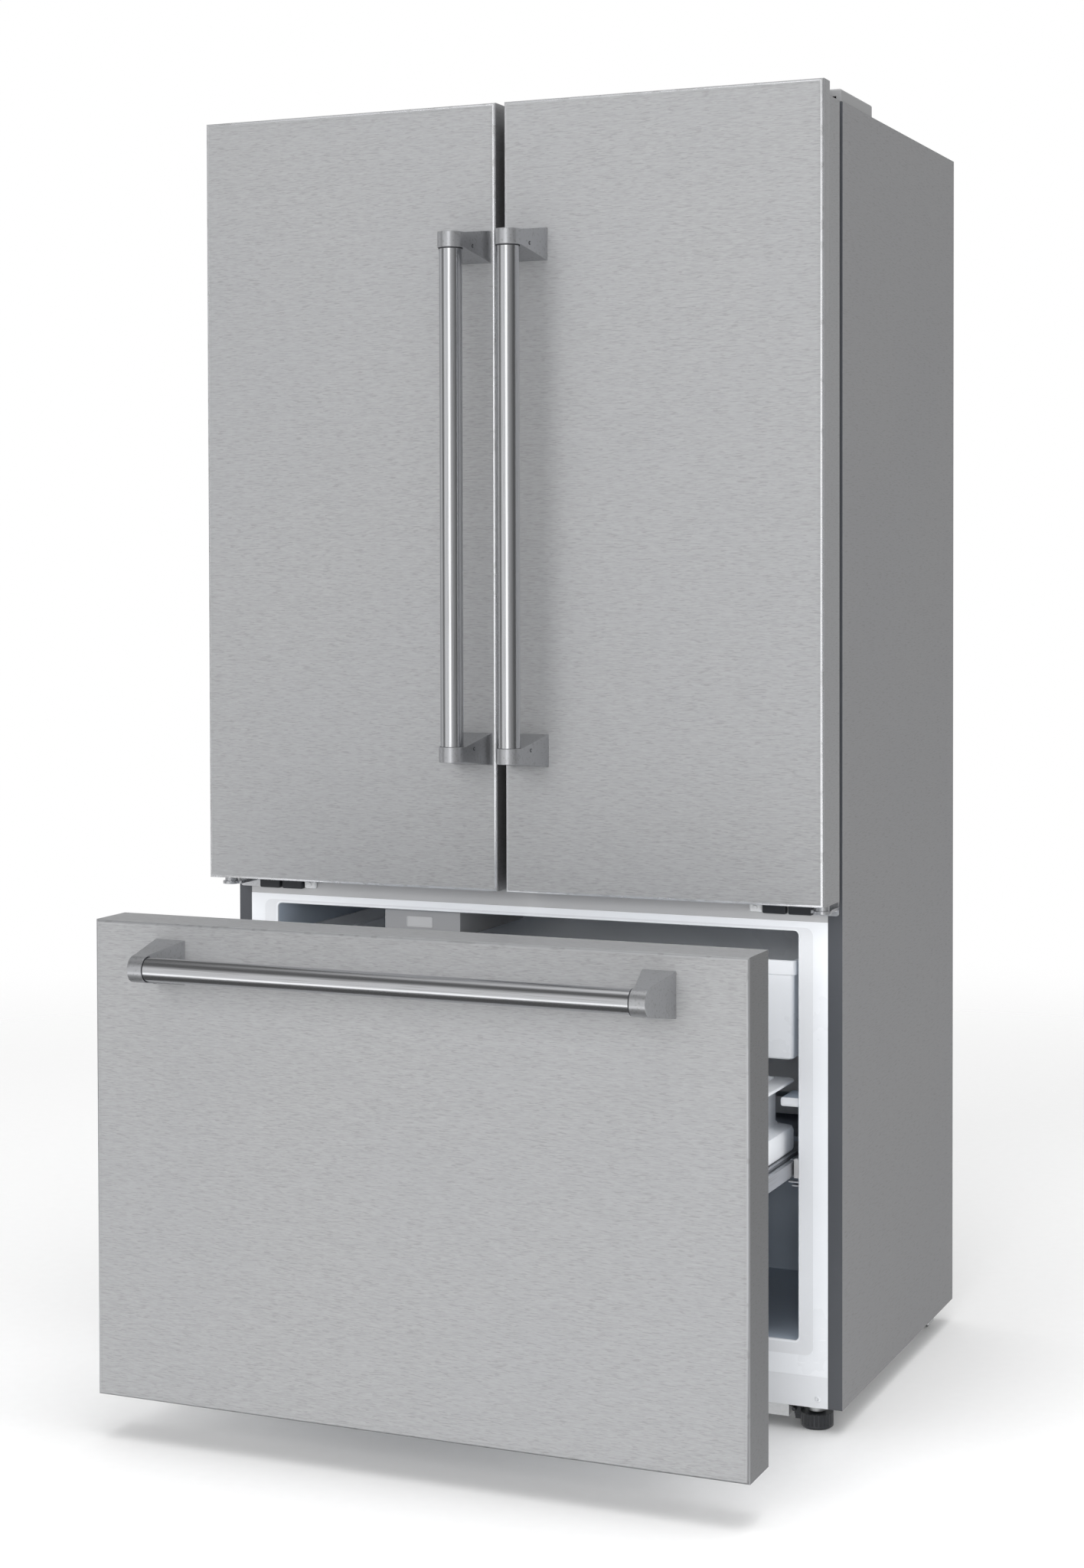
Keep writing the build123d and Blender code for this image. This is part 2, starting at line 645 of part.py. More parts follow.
def evaporator_cover():
    """Freezer back panel, with the evaporator fan's motor and shaft fixed to it."""
    half = FREEZER_HALF - 2
    front = EVAP_COVER_Y
    back = EVAP_COVER_Y + EVAP_SHEET
    cover = block(-half, half, front, back, FREEZER_STEP_Z + 8, FREEZER_CEILING - TOUCH_GAP)
    for row in range(5):
        z = FAN_Z - 26 + row * 12
        cover -= block(-34, 34, front - 1, back + 1, z, z + SLOT)
    for x in (-240, 240):
        cover -= block(x - 60, x + 60, front - 1, back + 1, FREEZER_STEP_Z + 33, FREEZER_STEP_Z + 41)
    motor = rod_y(14, 0, EVAP_COVER_Y + 1, EVAP_COVER_Y + 12, FAN_Z)
    shaft = rod_y(FAN_RADIUS * BORE_SHARE - PIN_GAP, 0, EVAP_COVER_Y + 1, FAN_Y + 4, FAN_Z)
    return cover + motor + shaft


COIL_HALF = 300.0
COIL_FRONT = FREEZER_BACK - 50
COIL_BACK = FREEZER_BACK - 6
COIL_BOTTOM = FREEZER_STEP_Z + 55
COIL_HEIGHT = 176.0
COIL_FINS = 25
FIN = 3.0


def evaporator_coil():
    """A stack of upright fins threaded on two rows of four tubes."""
    coil = []
    pitch = (2 * COIL_HALF - FIN) / (COIL_FINS - 1)
    for index in range(COIL_FINS):
        x = -COIL_HALF + index * pitch
        coil.append(block(x, x + FIN, COIL_FRONT, COIL_BACK, COIL_BOTTOM, COIL_BOTTOM + COIL_HEIGHT))
    for row in range(4):
        for y in (COIL_FRONT + 12, COIL_BACK - 12):
            coil.append(rod_x(4, -COIL_HALF - 6, COIL_HALF + 6, y, COIL_BOTTOM + 23 + row * 45))
    return coil[0].fuse(*coil[1:])


def fan_wheel(radius, depth, blades):
    """Hub and blades on the z axis, with its mounting bore open at one end."""
    hub = Cylinder(radius * HUB_SHARE, depth)
    wheel = hub
    for index in range(blades):
        blade = Pos(radius * 0.62, 0, 0) * Rot(32, 0, 0) * Box(radius * 0.74, radius * 0.5, 2)
        wheel += Rot(0, 0, index * 360 / blades) * blade
    wheel -= Pos(0, 0, depth * 0.25) * Cylinder(radius * BORE_SHARE, depth)
    return wheel


def evaporator_fan():
    return Pos(0, FAN_Y, FAN_Z) * Rot(90, 0, 0) * fan_wheel(FAN_RADIUS, 22, 5)


def basket():
    """Moulded basket: a well, a hollow shoulder that rides on the side frames, and a flat rim."""
    front = PANEL_BACK - DRAWER_OPENING + 6
    back = front + TRAY_LENGTH
    wall = BASKET_WALL
    neck = block(-TRAY_NECK, TRAY_NECK, front, back, TRAY_BOTTOM, TRAY_TOP)
    shoulder = block(-TRAY_HALF, TRAY_HALF, front, back, TRAY_BOTTOM, TRAY_SHOULDER)
    rim = block(-TRAY_HALF, TRAY_HALF, front, back, TRAY_TOP - RIM, TRAY_TOP)
    shoulder = fillet(shoulder.edges().filter_by(Axis.Z), BASKET_CORNER)
    rim = fillet(rim.edges().filter_by(Axis.Z), BASKET_CORNER)
    well_back = front + WELL_LENGTH
    well = block(-WELL_HALF, WELL_HALF, front, well_back, WELL_BOTTOM, TRAY_BOTTOM + 1)
    inner_neck = block(-TRAY_NECK + wall, TRAY_NECK - wall, front + wall, back - wall,
                       TRAY_BOTTOM + wall, TRAY_TOP + 1)
    inner_well = block(-WELL_HALF + wall, WELL_HALF - wall, front + wall, well_back - wall,
                       WELL_BOTTOM + wall, TRAY_BOTTOM + wall + 1)
    body = neck + shoulder + rim + well - inner_neck - inner_well
    channel_top = TRAY_SHOULDER - wall
    for hollow in pair(block(TRAY_NECK, TRAY_HALF - wall, front + BASKET_CORNER, back - BASKET_CORNER,
                             TRAY_BOTTOM - 1, channel_top)):
        body -= hollow
    return body


def upper_drawer():
    half = FREEZER_HALF - UPPER_SIDE_GAP
    back = UPPER_FRONT + UPPER_DEPTH
    drawer = open_box(-half, half, UPPER_FRONT, back, UPPER_BOTTOM, UPPER_TOP, BASKET_WALL)
    for side in (-1, 1):
        drawer += block(*sorted((side * half, side * (half + 4))), UPPER_FRONT + 20, back,
                        UPPER_TOP - 18, UPPER_TOP - 12)
    return drawer


# ---- drawer rails: three sections that slide in one another ----
def rail_span(pull):
    return RAIL_START - pull, RAIL_START + RAIL_LENGTH - pull


def channel(outer_x, reach, height, y0, y1):
    """A C-section open towards the middle of the cabinet."""
    low = RAIL_Z - height / 2
    high = RAIL_Z + height / 2
    web = block(outer_x - reach, outer_x, y0, y1, low, high)
    hollow = block(outer_x - reach - 1, outer_x - RAIL_SHEET, y0 - 1, y1 + 1,
                   low + RAIL_SHEET, high - RAIL_SHEET)
    return web - hollow


RAIL_OUTER_X = FREEZER_HALF - TOUCH_GAP
RAIL_MIDDLE_X = RAIL_OUTER_X - RAIL_SHEET - FIT_GAP
RAIL_INNER_X = RAIL_MIDDLE_X - RAIL_SHEET - FIT_GAP
RAIL_STEP = 2 * (RAIL_SHEET + FIT_GAP)
SIDE_FRAME_X = RAIL_INNER_X - RAIL_REACH - 1
FRAME_SHEET = 2.5
FRAME_SHELF = 24.0
GUSSET_BOTTOM = 190.0
GUSSET_LENGTH = 190.0


def outer_rails():
    y0, y1 = rail_span(0)
    return pair(channel(RAIL_OUTER_X, RAIL_REACH, RAIL_HEIGHT, y0, y1))


def middle_rails():
    y0, y1 = rail_span(DRAWER_OPENING / 2)
    return pair(channel(RAIL_MIDDLE_X, RAIL_REACH, RAIL_HEIGHT - RAIL_STEP, y0, y1))


def inner_rails():
    y0, y1 = rail_span(DRAWER_OPENING)
    half = RAIL_HEIGHT / 2 - RAIL_STEP
    rail = block(SIDE_FRAME_X, RAIL_INNER_X, y0, y1, RAIL_Z - half, RAIL_Z + half)
    rail -= rod_y(4, RAIL_INNER_X, y0 - 1, y1 + 1, RAIL_Z)
    return pair(rail)


def drawer_side_frames():
    """Steel plates that carry the drawer front and the basket on the inner rails."""
    front = PANEL_BACK - DRAWER_OPENING
    back = rail_span(DRAWER_OPENING)[1]
    top = TRAY_BOTTOM - 1
    under = RAIL_Z - 16
    with BuildSketch(Plane.YZ) as outline:
        with BuildLine():
            Polyline((front, GUSSET_BOTTOM), (front, top), (back, top), (back, under),
                     (front + GUSSET_LENGTH, under), (front + 12, GUSSET_BOTTOM), (front, GUSSET_BOTTOM))
        make_face()
    plate = Pos(SIDE_FRAME_X - FRAME_SHEET, 0, 0) * extrude(outline.sketch, FRAME_SHEET)
    inner = SIDE_FRAME_X - FRAME_SHELF
    shelf = block(inner, SIDE_FRAME_X, front, back, top - FRAME_SHEET, top)
    foot = block(inner, SIDE_FRAME_X, front, front + FRAME_SHEET, GUSSET_BOTTOM, top)
    return pair(plate + shelf + foot)


# ---- machine compartment ----
COMPRESSOR_X = -280.0
COMPRESSOR_RADIUS = 78.0
COMPRESSOR_HEIGHT = 170.0
COMPRESSOR_LIFT = 33.0
MOUNT_HALF_X = 95.0
MOUNT_HALF_Y = 60.0
MACHINE_Y = 480.0


def compressor():
    """Welded shell with its seam, on a foot plate that stands on four grommets."""
    low = PAN_FLOOR + COMPRESSOR_LIFT
    middle = low + COMPRESSOR_HEIGHT / 2
    shell = rod(COMPRESSOR_RADIUS, COMPRESSOR_X, MACHINE_Y, low, low + COMPRESSOR_HEIGHT)
    shell = fillet(shell.edges().filter_by(GeomType.CIRCLE), 34)
    seam = rod(COMPRESSOR_RADIUS + 4, COMPRESSOR_X, MACHINE_Y, middle, middle + 8)
    plate = block(COMPRESSOR_X - MOUNT_HALF_X, COMPRESSOR_X + MOUNT_HALF_X,
                  MACHINE_Y - MOUNT_HALF_Y, MACHINE_Y + MOUNT_HALF_Y, low - 5, low + 1)
    body = shell + seam + plate
    for dx in (15 - MOUNT_HALF_X, MOUNT_HALF_X - 15):
        for dy in (15 - MOUNT_HALF_Y, MOUNT_HALF_Y - 15):
            body += rod(9, COMPRESSOR_X + dx, MACHINE_Y + dy, PAN_FLOOR + TOUCH_GAP, low - 4)
    return body


CONDENSER_LEFT = 95.0
CONDENSER_RIGHT = 345.0
CONDENSER_HALF = 65.0
CONDENSER_BOTTOM = PAN_FLOOR + 30
CONDENSER_HEIGHT = 160.0
END_PLATE = 4.0


def condenser_coil():
    """Two end plates joined by five rows of four tubes."""
    top = CONDENSER_BOTTOM + CONDENSER_HEIGHT
    coil = []
    for x0 in (CONDENSER_LEFT, CONDENSER_RIGHT - END_PLATE):
        coil.append(block(x0, x0 + END_PLATE, MACHINE_Y - CONDENSER_HALF, MACHINE_Y + CONDENSER_HALF,
                          CONDENSER_BOTTOM, top))
    for row in range(4):
        for column in range(5):
            y = MACHINE_Y + (column - 2) * 26
            z = CONDENSER_BOTTOM + 20 + row * 40
            coil.append(rod_x(3.5, CONDENSER_LEFT - 5, CONDENSER_RIGHT + 5, y, z))
    return coil[0].fuse(*coil[1:])


CONDENSER_FAN_X = 20.0
CONDENSER_FAN_Z = 150.0
CONDENSER_FAN_RADIUS = 72.0
SHROUD_SHEET = 3.0


def condenser_fan():
    wheel = fan_wheel(CONDENSER_FAN_RADIUS, 30, 5)
    return Pos(CONDENSER_FAN_X, MACHINE_Y, CONDENSER_FAN_Z) * Rot(0, 90, 0) * wheel


def condenser_shroud():
    """Plate with a round mouth beside the fan, carrying the fan's motor and shaft on a cross bar."""
    x0 = CONDENSER_FAN_X + 26
    x1 = x0 + SHROUD_SHEET
    front = MACHINE_Y - 84
    back = MACHINE_Y + 90
    shroud = block(x0, x1, front, back, PAN_FLOOR + TOUCH_GAP, MACHINE_TOP - 10)
    shroud -= rod_x(CONDENSER_FAN_RADIUS + 3, x0 - 1, x1 + 1, MACHINE_Y, CONDENSER_FAN_Z)
    shroud += block(x0, x1, front, back, CONDENSER_FAN_Z - 8, CONDENSER_FAN_Z + 8)
    motor = rod_x(20, x0 - 6, x0 + 22, MACHINE_Y, CONDENSER_FAN_Z)
    shaft_radius = CONDENSER_FAN_RADIUS * BORE_SHARE - PIN_GAP
    shaft = rod_x(shaft_radius, CONDENSER_FAN_X - 6, x0 + 1, MACHINE_Y, CONDENSER_FAN_Z)
    return shroud + motor + shaft


def drain_pan():
    """Shallow tray under the condenser."""
    return open_box(CONDENSER_LEFT - 25, CONDENSER_RIGHT + 25, MACHINE_Y - 80, MACHINE_Y + 80,
                    PAN_FLOOR + TOUCH_GAP, CONDENSER_BOTTOM - 8, 2)


INLET_X = 400.0
INLET_Z = 150.0
VALVE_FRONT = 520.0
VALVE_BACK = 556.0
VALVE_HALF = 24.0
SPIGOT_RADIUS = 8.0
SPIGOT_LENGTH = 27.0
CORD_X = -400.0
CORD_Z = 90.0
CORD_BORE = 4.2
GLAND_RADIUS = 8.9
GLAND_FLANGE = 13.0
GLAND_LENGTH = 8.0
LOUVRE_HALF = 62.0


def machine_cover():
    inside = HALF - SHEET
    back = CABINET_DEPTH
    cover = block(-inside, inside, back - SHEET, back, CABINET_BOTTOM, MACHINE_TOP)
    for row in range(9):
        z = 75 + row * 19
        for x in (-230, -75, 80, 235):
            cover -= block(x - LOUVRE_HALF, x + LOUVRE_HALF, back - 3, back + 1, z, z + SLOT)
    cover -= rod_y(SPIGOT_RADIUS + 6, INLET_X, back - 3, back + 1, INLET_Z)
    cover -= rod_y(GLAND_RADIUS + 0.1, CORD_X, back - 3, back + 1, CORD_Z)
    return cover


def water_valve():
    body = block(INLET_X - VALVE_HALF, INLET_X + VALVE_HALF, VALVE_FRONT, VALVE_BACK,
                 INLET_Z - VALVE_HALF, INLET_Z + VALVE_HALF + 6)
    body = fillet(body.edges().filter_by(Axis.Y), 4)
    return body + rod_y(SPIGOT_RADIUS, INLET_X, VALVE_BACK - 1, VALVE_BACK + SPIGOT_LENGTH, INLET_Z)


def cord_inlet():
    back = CABINET_DEPTH
    gland = rod_y(GLAND_RADIUS, CORD_X, back - GLAND_LENGTH, back, CORD_Z)
    gland += rod_y(GLAND_FLANGE, CORD_X, back - GLAND_LENGTH, back - SHEET - TOUCH_GAP, CORD_Z)
    return gland - rod_y(CORD_BORE, CORD_X, back - GLAND_LENGTH - 1, back + 1, CORD_Z)


# ---- feet and rollers ----
def levelling_foot():
    """Knob with finger grooves on a threaded stud."""
    foot = rod(FOOT_RADIUS, FOOT_X, FOOT_Y, 0, FOOT_KNOB)
    foot = chamfer(foot.edges().group_by(Axis.Z)[0], 2)
    for index in range(FOOT_GROOVES):
        angle = 2 * math.pi * index / FOOT_GROOVES
        x = FOOT_X + (FOOT_RADIUS + 0.6) * math.cos(angle)
        y = FOOT_Y + (FOOT_RADIUS + 0.6) * math.sin(angle)
        foot -= rod(1.5, x, y, 5, FOOT_KNOB + 1)
    return foot + rod(STUD_RADIUS, FOOT_X, FOOT_Y, FOOT_KNOB - 1, CABINET_BOTTOM + 22)


def rear_roller():
    half = ROLLER_WIDTH / 2
    wheel = rod_x(ROLLER_RADIUS, ROLLER_X - half, ROLLER_X + half, ROLLER_Y, ROLLER_RADIUS)
    wheel = fillet(wheel.edges().filter_by(GeomType.CIRCLE), 1.5)
    bore = rod_x(AXLE_RADIUS + PIN_GAP, ROLLER_X - half - 1, ROLLER_X + half + 1, ROLLER_Y, ROLLER_RADIUS)
    return wheel - bore


# ---- writing the pieces out ----
def pulled(shape):
    """A piece of the drawer front, drawn out with the drawer."""
    return Pos(0, -DRAWER_OPENING, 0) * shape


def write(name, shapes):
    solids = shapes if isinstance(shapes, list) else [shapes]
    placed = [Pos(0, -ORIGIN_Y, 0) * shape for shape in solids]
    body = placed[0] if len(placed) == 1 else Compound(children=placed)
    export_step(body, "parts/" + name + ".step")


os.makedirs("parts", exist_ok=True)

write("right_side_panel", side_panel())
write("left_side_panel", flipped(side_panel()))
write("top_panel", top_panel())
write("back_panel", back_panel())
write("base_pan", base_pan())
write("cabinet_foam", cabinet_foam())
write("fridge_liner", fridge_liner())
write("freezer_liner", freezer_liner())
write("mullion_cover", mullion_cover())
write("base_cover", base_cover())
write("top_hinges", pair(top_hinge()))
write("top_hinge_covers", pair(top_hinge_cover()))
write("middle_hinges", pair(middle_hinge()))

write("glass_shelves", glass_shelves())
write("right_crisper", crisper())
write("left_crisper", flipped(crisper()))
write("air_duct", air_duct())

write("ice_maker", ice_maker())
write("evaporator_cover", evaporator_cover())
write("evaporator_coil", evaporator_coil())
write("evaporator_fan", evaporator_fan())
write("upper_freezer_drawer", upper_drawer())
write("outer_rails", outer_rails())
write("middle_rails", middle_rails())
write("inner_rails", inner_rails())

write("compressor", compressor())
write("condenser_coil", condenser_coil())
write("condenser_fan", condenser_fan())
write("condenser_shroud", condenser_shroud())
write("drain_pan", drain_pan())
write("machine_cover", machine_cover())
write("water_valve", water_valve())
write("cord_inlet", cord_inlet())

write("right_levelling_foot", levelling_foot())
write("left_levelling_foot", flipped(levelling_foot()))
write("right_rear_roller", rear_roller())
write("left_rear_roller", flipped(rear_roller()))

drawer = (-HALF, HALF, DRAWER_BOTTOM, DRAWER_TOP)
write("drawer_skin", pulled(panel_skin(*drawer)))
write("drawer_foam", pulled(panel_foam(*drawer)))
sheet_edge = HALF - SKIN
drawer_sheet = block(-sheet_edge, sheet_edge, PANEL_BACK - INNER_SHEET, PANEL_BACK,
                     DRAWER_BOTTOM + SKIN, DRAWER_TOP - SKIN)
write("drawer_inner_panel", pulled(drawer_sheet))
gasket_half = HALF - GASKET_OUT
drawer_gasket = gasket_ring(-gasket_half, gasket_half, DRAWER_BOTTOM + DRAWER_GASKET_LOW,
                            DRAWER_TOP - DRAWER_GASKET_HIGH)
write("drawer_gasket", pulled(drawer_gasket))
write("drawer_handle_bar", pulled(drawer_handle_bar()))
write("drawer_handle_brackets", [pulled(piece) for piece in drawer_handle_brackets()])
write("drawer_side_frames", drawer_side_frames())
write("freezer_basket", basket())

for side in ("right", "left"):
    turn = flipped if side == "left" else (lambda shape: shape)
    inner_edge = DOOR_GAP / 2 + GASKET_IN if side == "right" else MULLION_LEFT + MULLION_GASKET_GAP
    inner = turn(door_inner())
    if side == "left":
        for lug in mullion_lugs():
            inner += lug
    write(side + "_door_skin", turn(door_skin()))
    write(side + "_door_foam", turn(door_foam()))
    write(side + "_door_inner_panel", inner)
    write(side + "_door_gasket", turn(door_gasket(inner_edge)))
    write(side + "_door_handle_bar", turn(door_handle_bar()))
    write(side + "_door_handle_brackets", [turn(piece) for piece in door_handle_brackets()])
    write(side + "_door_bins", [turn(piece) for piece in door_bins()])

write("centre_mullion", centre_mullion())
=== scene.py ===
import bpy
import bmesh
import math
from mathutils import Matrix, Vector


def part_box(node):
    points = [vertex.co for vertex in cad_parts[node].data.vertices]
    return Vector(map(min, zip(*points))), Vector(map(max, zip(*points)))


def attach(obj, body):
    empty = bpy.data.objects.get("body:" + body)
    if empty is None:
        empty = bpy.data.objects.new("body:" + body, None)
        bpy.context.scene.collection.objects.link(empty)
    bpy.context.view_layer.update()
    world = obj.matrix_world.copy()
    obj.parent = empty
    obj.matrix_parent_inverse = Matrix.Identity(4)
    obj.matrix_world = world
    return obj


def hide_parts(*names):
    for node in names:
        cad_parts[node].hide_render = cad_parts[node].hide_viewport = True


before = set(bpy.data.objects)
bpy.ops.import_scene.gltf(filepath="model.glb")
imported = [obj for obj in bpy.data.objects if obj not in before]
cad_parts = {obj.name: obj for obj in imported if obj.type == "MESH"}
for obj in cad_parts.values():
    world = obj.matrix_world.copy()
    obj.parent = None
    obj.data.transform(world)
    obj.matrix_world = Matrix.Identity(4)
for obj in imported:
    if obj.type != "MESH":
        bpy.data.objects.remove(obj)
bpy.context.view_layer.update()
MM = 0.001


# ---- the cabinet's side, top and back sheets ----
# Steel sheets wrapped round the foam: two sides and a top, coated grey with a fine level grain, and a
# zinc-coated back with two pressed grooves, held by screws round its edge. The sides' narrow front flanges
# are a darker
# grey: painted shade.
class Wire:
    """One socket of a finish's node tree. Arithmetic on it adds Math nodes to that tree."""

    def __init__(self, tree, socket):
        self.tree = tree
        self.socket = socket

    def node(self, kind, settings, sockets, out=0):
        made = self.tree.nodes.new(kind)
        for name, value in settings.items():
            if name == "stops":
                ramp = made.color_ramp.elements
                while len(ramp) < len(value):
                    ramp.new(1.0)
                for stop, (position, level) in zip(ramp, value):
                    stop.position = position
                    stop.color = (level, level, level, 1)
            else:
                setattr(made, name, value)
        for name, value in sockets.items():
            if isinstance(value, Wire):
                self.tree.links.new(value.socket, made.inputs[name])
            else:
                made.inputs[name].default_value = value
        return Wire(self.tree, made.outputs[out])

    def math(self, operation, first, second):
        return self.node("ShaderNodeMath", {"operation": operation}, {0: first, 1: second})

    def __add__(self, other):
        return self.math("ADD", self, other)

    def __radd__(self, other):
        return self.math("ADD", other, self)

    def __sub__(self, other):
        return self.math("SUBTRACT", self, other)

    def __rsub__(self, other):
        return self.math("SUBTRACT", other, self)

    def __mul__(self, other):
        return self.math("MULTIPLY", self, other)

    def __rmul__(self, other):
        return self.math("MULTIPLY", other, self)

    def feed(self, shader, name):
        self.tree.links.new(self.socket, shader.inputs[name])


def new_finish(name, **constants):
    """A fresh finish: the material, its shader and a Wire on the piece's own coordinates."""
    material = bpy.data.materials.new(name)
    material.use_nodes = True
    shader = material.node_tree.nodes["Principled BSDF"]
    for socket, value in constants.items():
        shader.inputs[socket.replace("_", " ")].default_value = value
    coordinates = material.node_tree.nodes.new("ShaderNodeTexCoord")
    return material, shader, Wire(material.node_tree, coordinates.outputs["Object"])


def stretched(place, scale):
    return place.node("ShaderNodeMapping", {}, {"Vector": place, "Scale": scale})


def noise(place, scale, detail=2.0, roughness=0.5):
    settings = {"Vector": place, "Scale": scale, "Detail": detail, "Roughness": roughness}
    return place.node("ShaderNodeTexNoise", {}, settings)


def smooth_step(value, low, high):
    settings = {"Value": value, "From Min": low, "From Max": high}
    return value.node("ShaderNodeMapRange", {"interpolation_type": "SMOOTHSTEP"}, settings)


def blend(factor, first, second):
    """Mix of two colours, each a plain colour or the Wire of one."""
    sockets = {0: factor}
    for index, colour in ((6, first), (7, second)):
        sockets[index] = colour if isinstance(colour, Wire) else (*colour, 1)
    return factor.node("ShaderNodeMix", {"data_type": "RGBA"}, sockets, out=2)


def raise_grain(height, shader, strength, distance):
    sockets = {"Height": height, "Strength": strength, "Distance": distance}
    height.node("ShaderNodeBump", {}, sockets).feed(shader, "Normal")


def shade(colour, share):
    return [min(1.0, channel * share) for channel in colour]


def moulded(name, colour, roughness, pebble=900.0, depth=0.06, spread=0.04, **constants):
    """Paint or moulded plastic: faint mottling, a pebbled surface, uneven gloss and a few hairline scuffs."""
    material, shader, place = new_finish(name, **constants)
    mottle = noise(place, 9.0, 4.0, 0.6)
    scuffs = smooth_step(noise(stretched(place, (40.0, 40.0, 300.0)), 1.0, 2.0), 0.68, 0.75)
    body = blend(mottle, shade(colour, 1 - spread), shade(colour, 1 + spread))
    blend(scuffs * 0.14, body, shade(colour, 1.12)).feed(shader, "Base Color")
    (mottle * 0.14 + scuffs * 0.06 + (roughness - 0.08)).feed(shader, "Roughness")
    raise_grain(noise(place, pebble, 2.0), shader, 0.4, depth * MM)
    return material


def brushed(name, colour, roughness, grain, contrast=0.05, smudge=0.04, depth=0.02, sheen=1.0):
    """Brushed metal. grain is how many marks lie in a metre along x, y and z: few along the brush's way.

    sheen is how much of it mirrors; the rest scatters, as a matt fingerprint-proof coat does.
    """
    material, shader, place = new_finish(name, Metallic=sheen)
    marks = noise(stretched(place, grain), 1.0, 3.0, 0.65)
    finer = [count * 1.1 for count in grain]
    dashes = smooth_step(noise(stretched(place, finer), 1.0, 1.0), 0.57, 0.68)
    cloud = noise(place, 2.2, 3.0, 0.55)
    body = blend(marks, shade(colour, 1 - contrast), shade(colour, 1 + contrast))
    body = blend(cloud * 0.6, body, [colour[0] * 0.97, colour[1] * 0.985, colour[2] * 1.03])
    blend(dashes * 0.75, body, shade(colour, 0.8)).feed(shader, "Base Color")
    (marks * 0.1 + cloud * smudge * 2 + (roughness - 0.05 - smudge)).feed(shader, "Roughness")
    raise_grain(marks, shader, 0.25, depth * MM)
    return material


def spangled(name, colour, roughness):
    """Hot-dip zinc: pale crystals of a slightly different grey, dulled by handling."""
    material, shader, place = new_finish(name, Metallic=0.9)
    crystals = place.node("ShaderNodeTexVoronoi", {}, {"Vector": place, "Scale": 260.0}, out=1)
    tone = crystals.node("ShaderNodeSeparateColor", {}, {"Color": crystals}, out=0)
    haze = noise(place, 6.0, 4.0)
    blend(tone * 0.6 + haze * 0.4, shade(colour, 0.9), shade(colour, 1.08)).feed(shader, "Base Color")
    (tone * 0.12 + haze * 0.14 + (roughness - 0.13)).feed(shader, "Roughness")
    raise_grain(noise(place, 60.0, 3.0), shader, 0.2, 0.05 * MM)
    return material


def from_node(node):
    """A CAD piece's own surface as a bmesh, with its loose triangles joined into whole faces."""
    bm = bmesh.new()
    bm.from_mesh(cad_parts[node].data)
    bmesh.ops.remove_doubles(bm, verts=bm.verts, dist=0.005 * MM)
    bmesh.ops.dissolve_limit(bm, angle_limit=math.radians(0.5), verts=bm.verts, edges=bm.edges)
    return bm


SHARP_TURN = math.radians(40)


def ease(bm, width, segments=2, clamp=True):
    """Round the sharp edges of a piece by a width in millimetres."""
    sharp = [edge for edge in bm.edges if len(edge.link_faces) == 2 and edge.calc_face_angle() > SHARP_TURN]
    bmesh.ops.bevel(bm, geom=sharp, offset=width * MM, offset_type="OFFSET", affect="EDGES",
                    segments=segments, profile=0.5, material=-1, clamp_overlap=clamp)


AXES = {"x": Matrix.Rotation(math.pi / 2, 4, "Y"),
        "y": Matrix.Rotation(-math.pi / 2, 4, "X"),
        "z": Matrix()}


def add_lathe(bm, outline, axis, centre, steps):
    """Turn an outline of (radius, distance along), in millimetres, about an axis through the centre."""
    points = [bm.verts.new((radius * MM, 0, along * MM)) for radius, along in outline]
    edges = [bm.edges.new(ends) for ends in zip(points, points[1:])]
    grown = bmesh.ops.spin(bm, geom=points + edges, cent=(0, 0, 0), axis=(0, 0, 1), dvec=(0, 0, 0),
                           angle=math.tau, steps=steps, use_merge=True, use_duplicate=False)
    made = set(points)
    for item in grown["geom_last"]:
        made.update([item] if isinstance(item, bmesh.types.BMVert) else item.verts)
    front = list(made)
    while front:
        vert = front.pop()
        for edge in vert.link_edges:
            other = edge.other_vert(vert)
            if other not in made:
                made.add(other)
                front.append(other)
    bmesh.ops.transform(bm, matrix=Matrix.Translation(centre) @ AXES[axis], verts=list(made))
    bmesh.ops.remove_doubles(bm, verts=list(made), dist=0.01 * MM)


SCREW_SIDES = 12


def add_screws(bm, places, axis, radius=4.0, height=2.4):
    """Pan-headed screws: each head is a low dome with a socket sunk in it. axis points out of the head."""
    sign = -1 if axis[0] == "-" else 1
    dome = [(0, height * 0.35), (radius * 0.42, height * 0.35), (radius * 0.46, height),
            (radius * 0.8, height * 0.8), (radius, height * 0.3), (radius, 0), (0, 0)]
    for place in places:
        add_lathe(bm, [(r, sign * along) for r, along in dome], axis[-1], place, SCREW_SIDES)


CREASE = math.radians(34)


def piece(name, bm, body, finishes, stands_for=()):
    """Turn a bmesh into a finished piece that rides on a body."""
    mesh = bpy.data.meshes.new(name)
    bmesh.ops.recalc_face_normals(bm, faces=bm.faces)
    bm.to_mesh(mesh)
    bm.free()
    mesh.shade_smooth()
    mesh.set_sharp_from_angle(angle=CREASE)
    for finish in finishes:
        mesh.materials.append(finish)
    made = bpy.data.objects.new(name, mesh)
    bpy.context.scene.collection.objects.link(made)
    flat = made.modifiers.new("flat faces stay flat", "WEIGHTED_NORMAL")
    flat.keep_sharp = True
    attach(made, body)
    if stands_for:
        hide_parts(*stands_for)
    return made


enamel = brushed("grey coated side sheet", (0.21, 0.21, 0.213), 0.42, (300.0, 55.0, 620.0), 0.24, 0.03,
                 sheen=0.1)
# The front flanges' darker grey is painted shade.
flange_painted_shade = moulded("flange enamel with painted shade", (0.066, 0.07, 0.079), 0.4, 420.0, 0.08)
zinc = spangled("zinc coat", (0.55, 0.56, 0.57), 0.42)
plated = spangled("bright plated steel", (0.62, 0.63, 0.65), 0.34)
cabinet_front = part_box("left_side_panel")[0].y

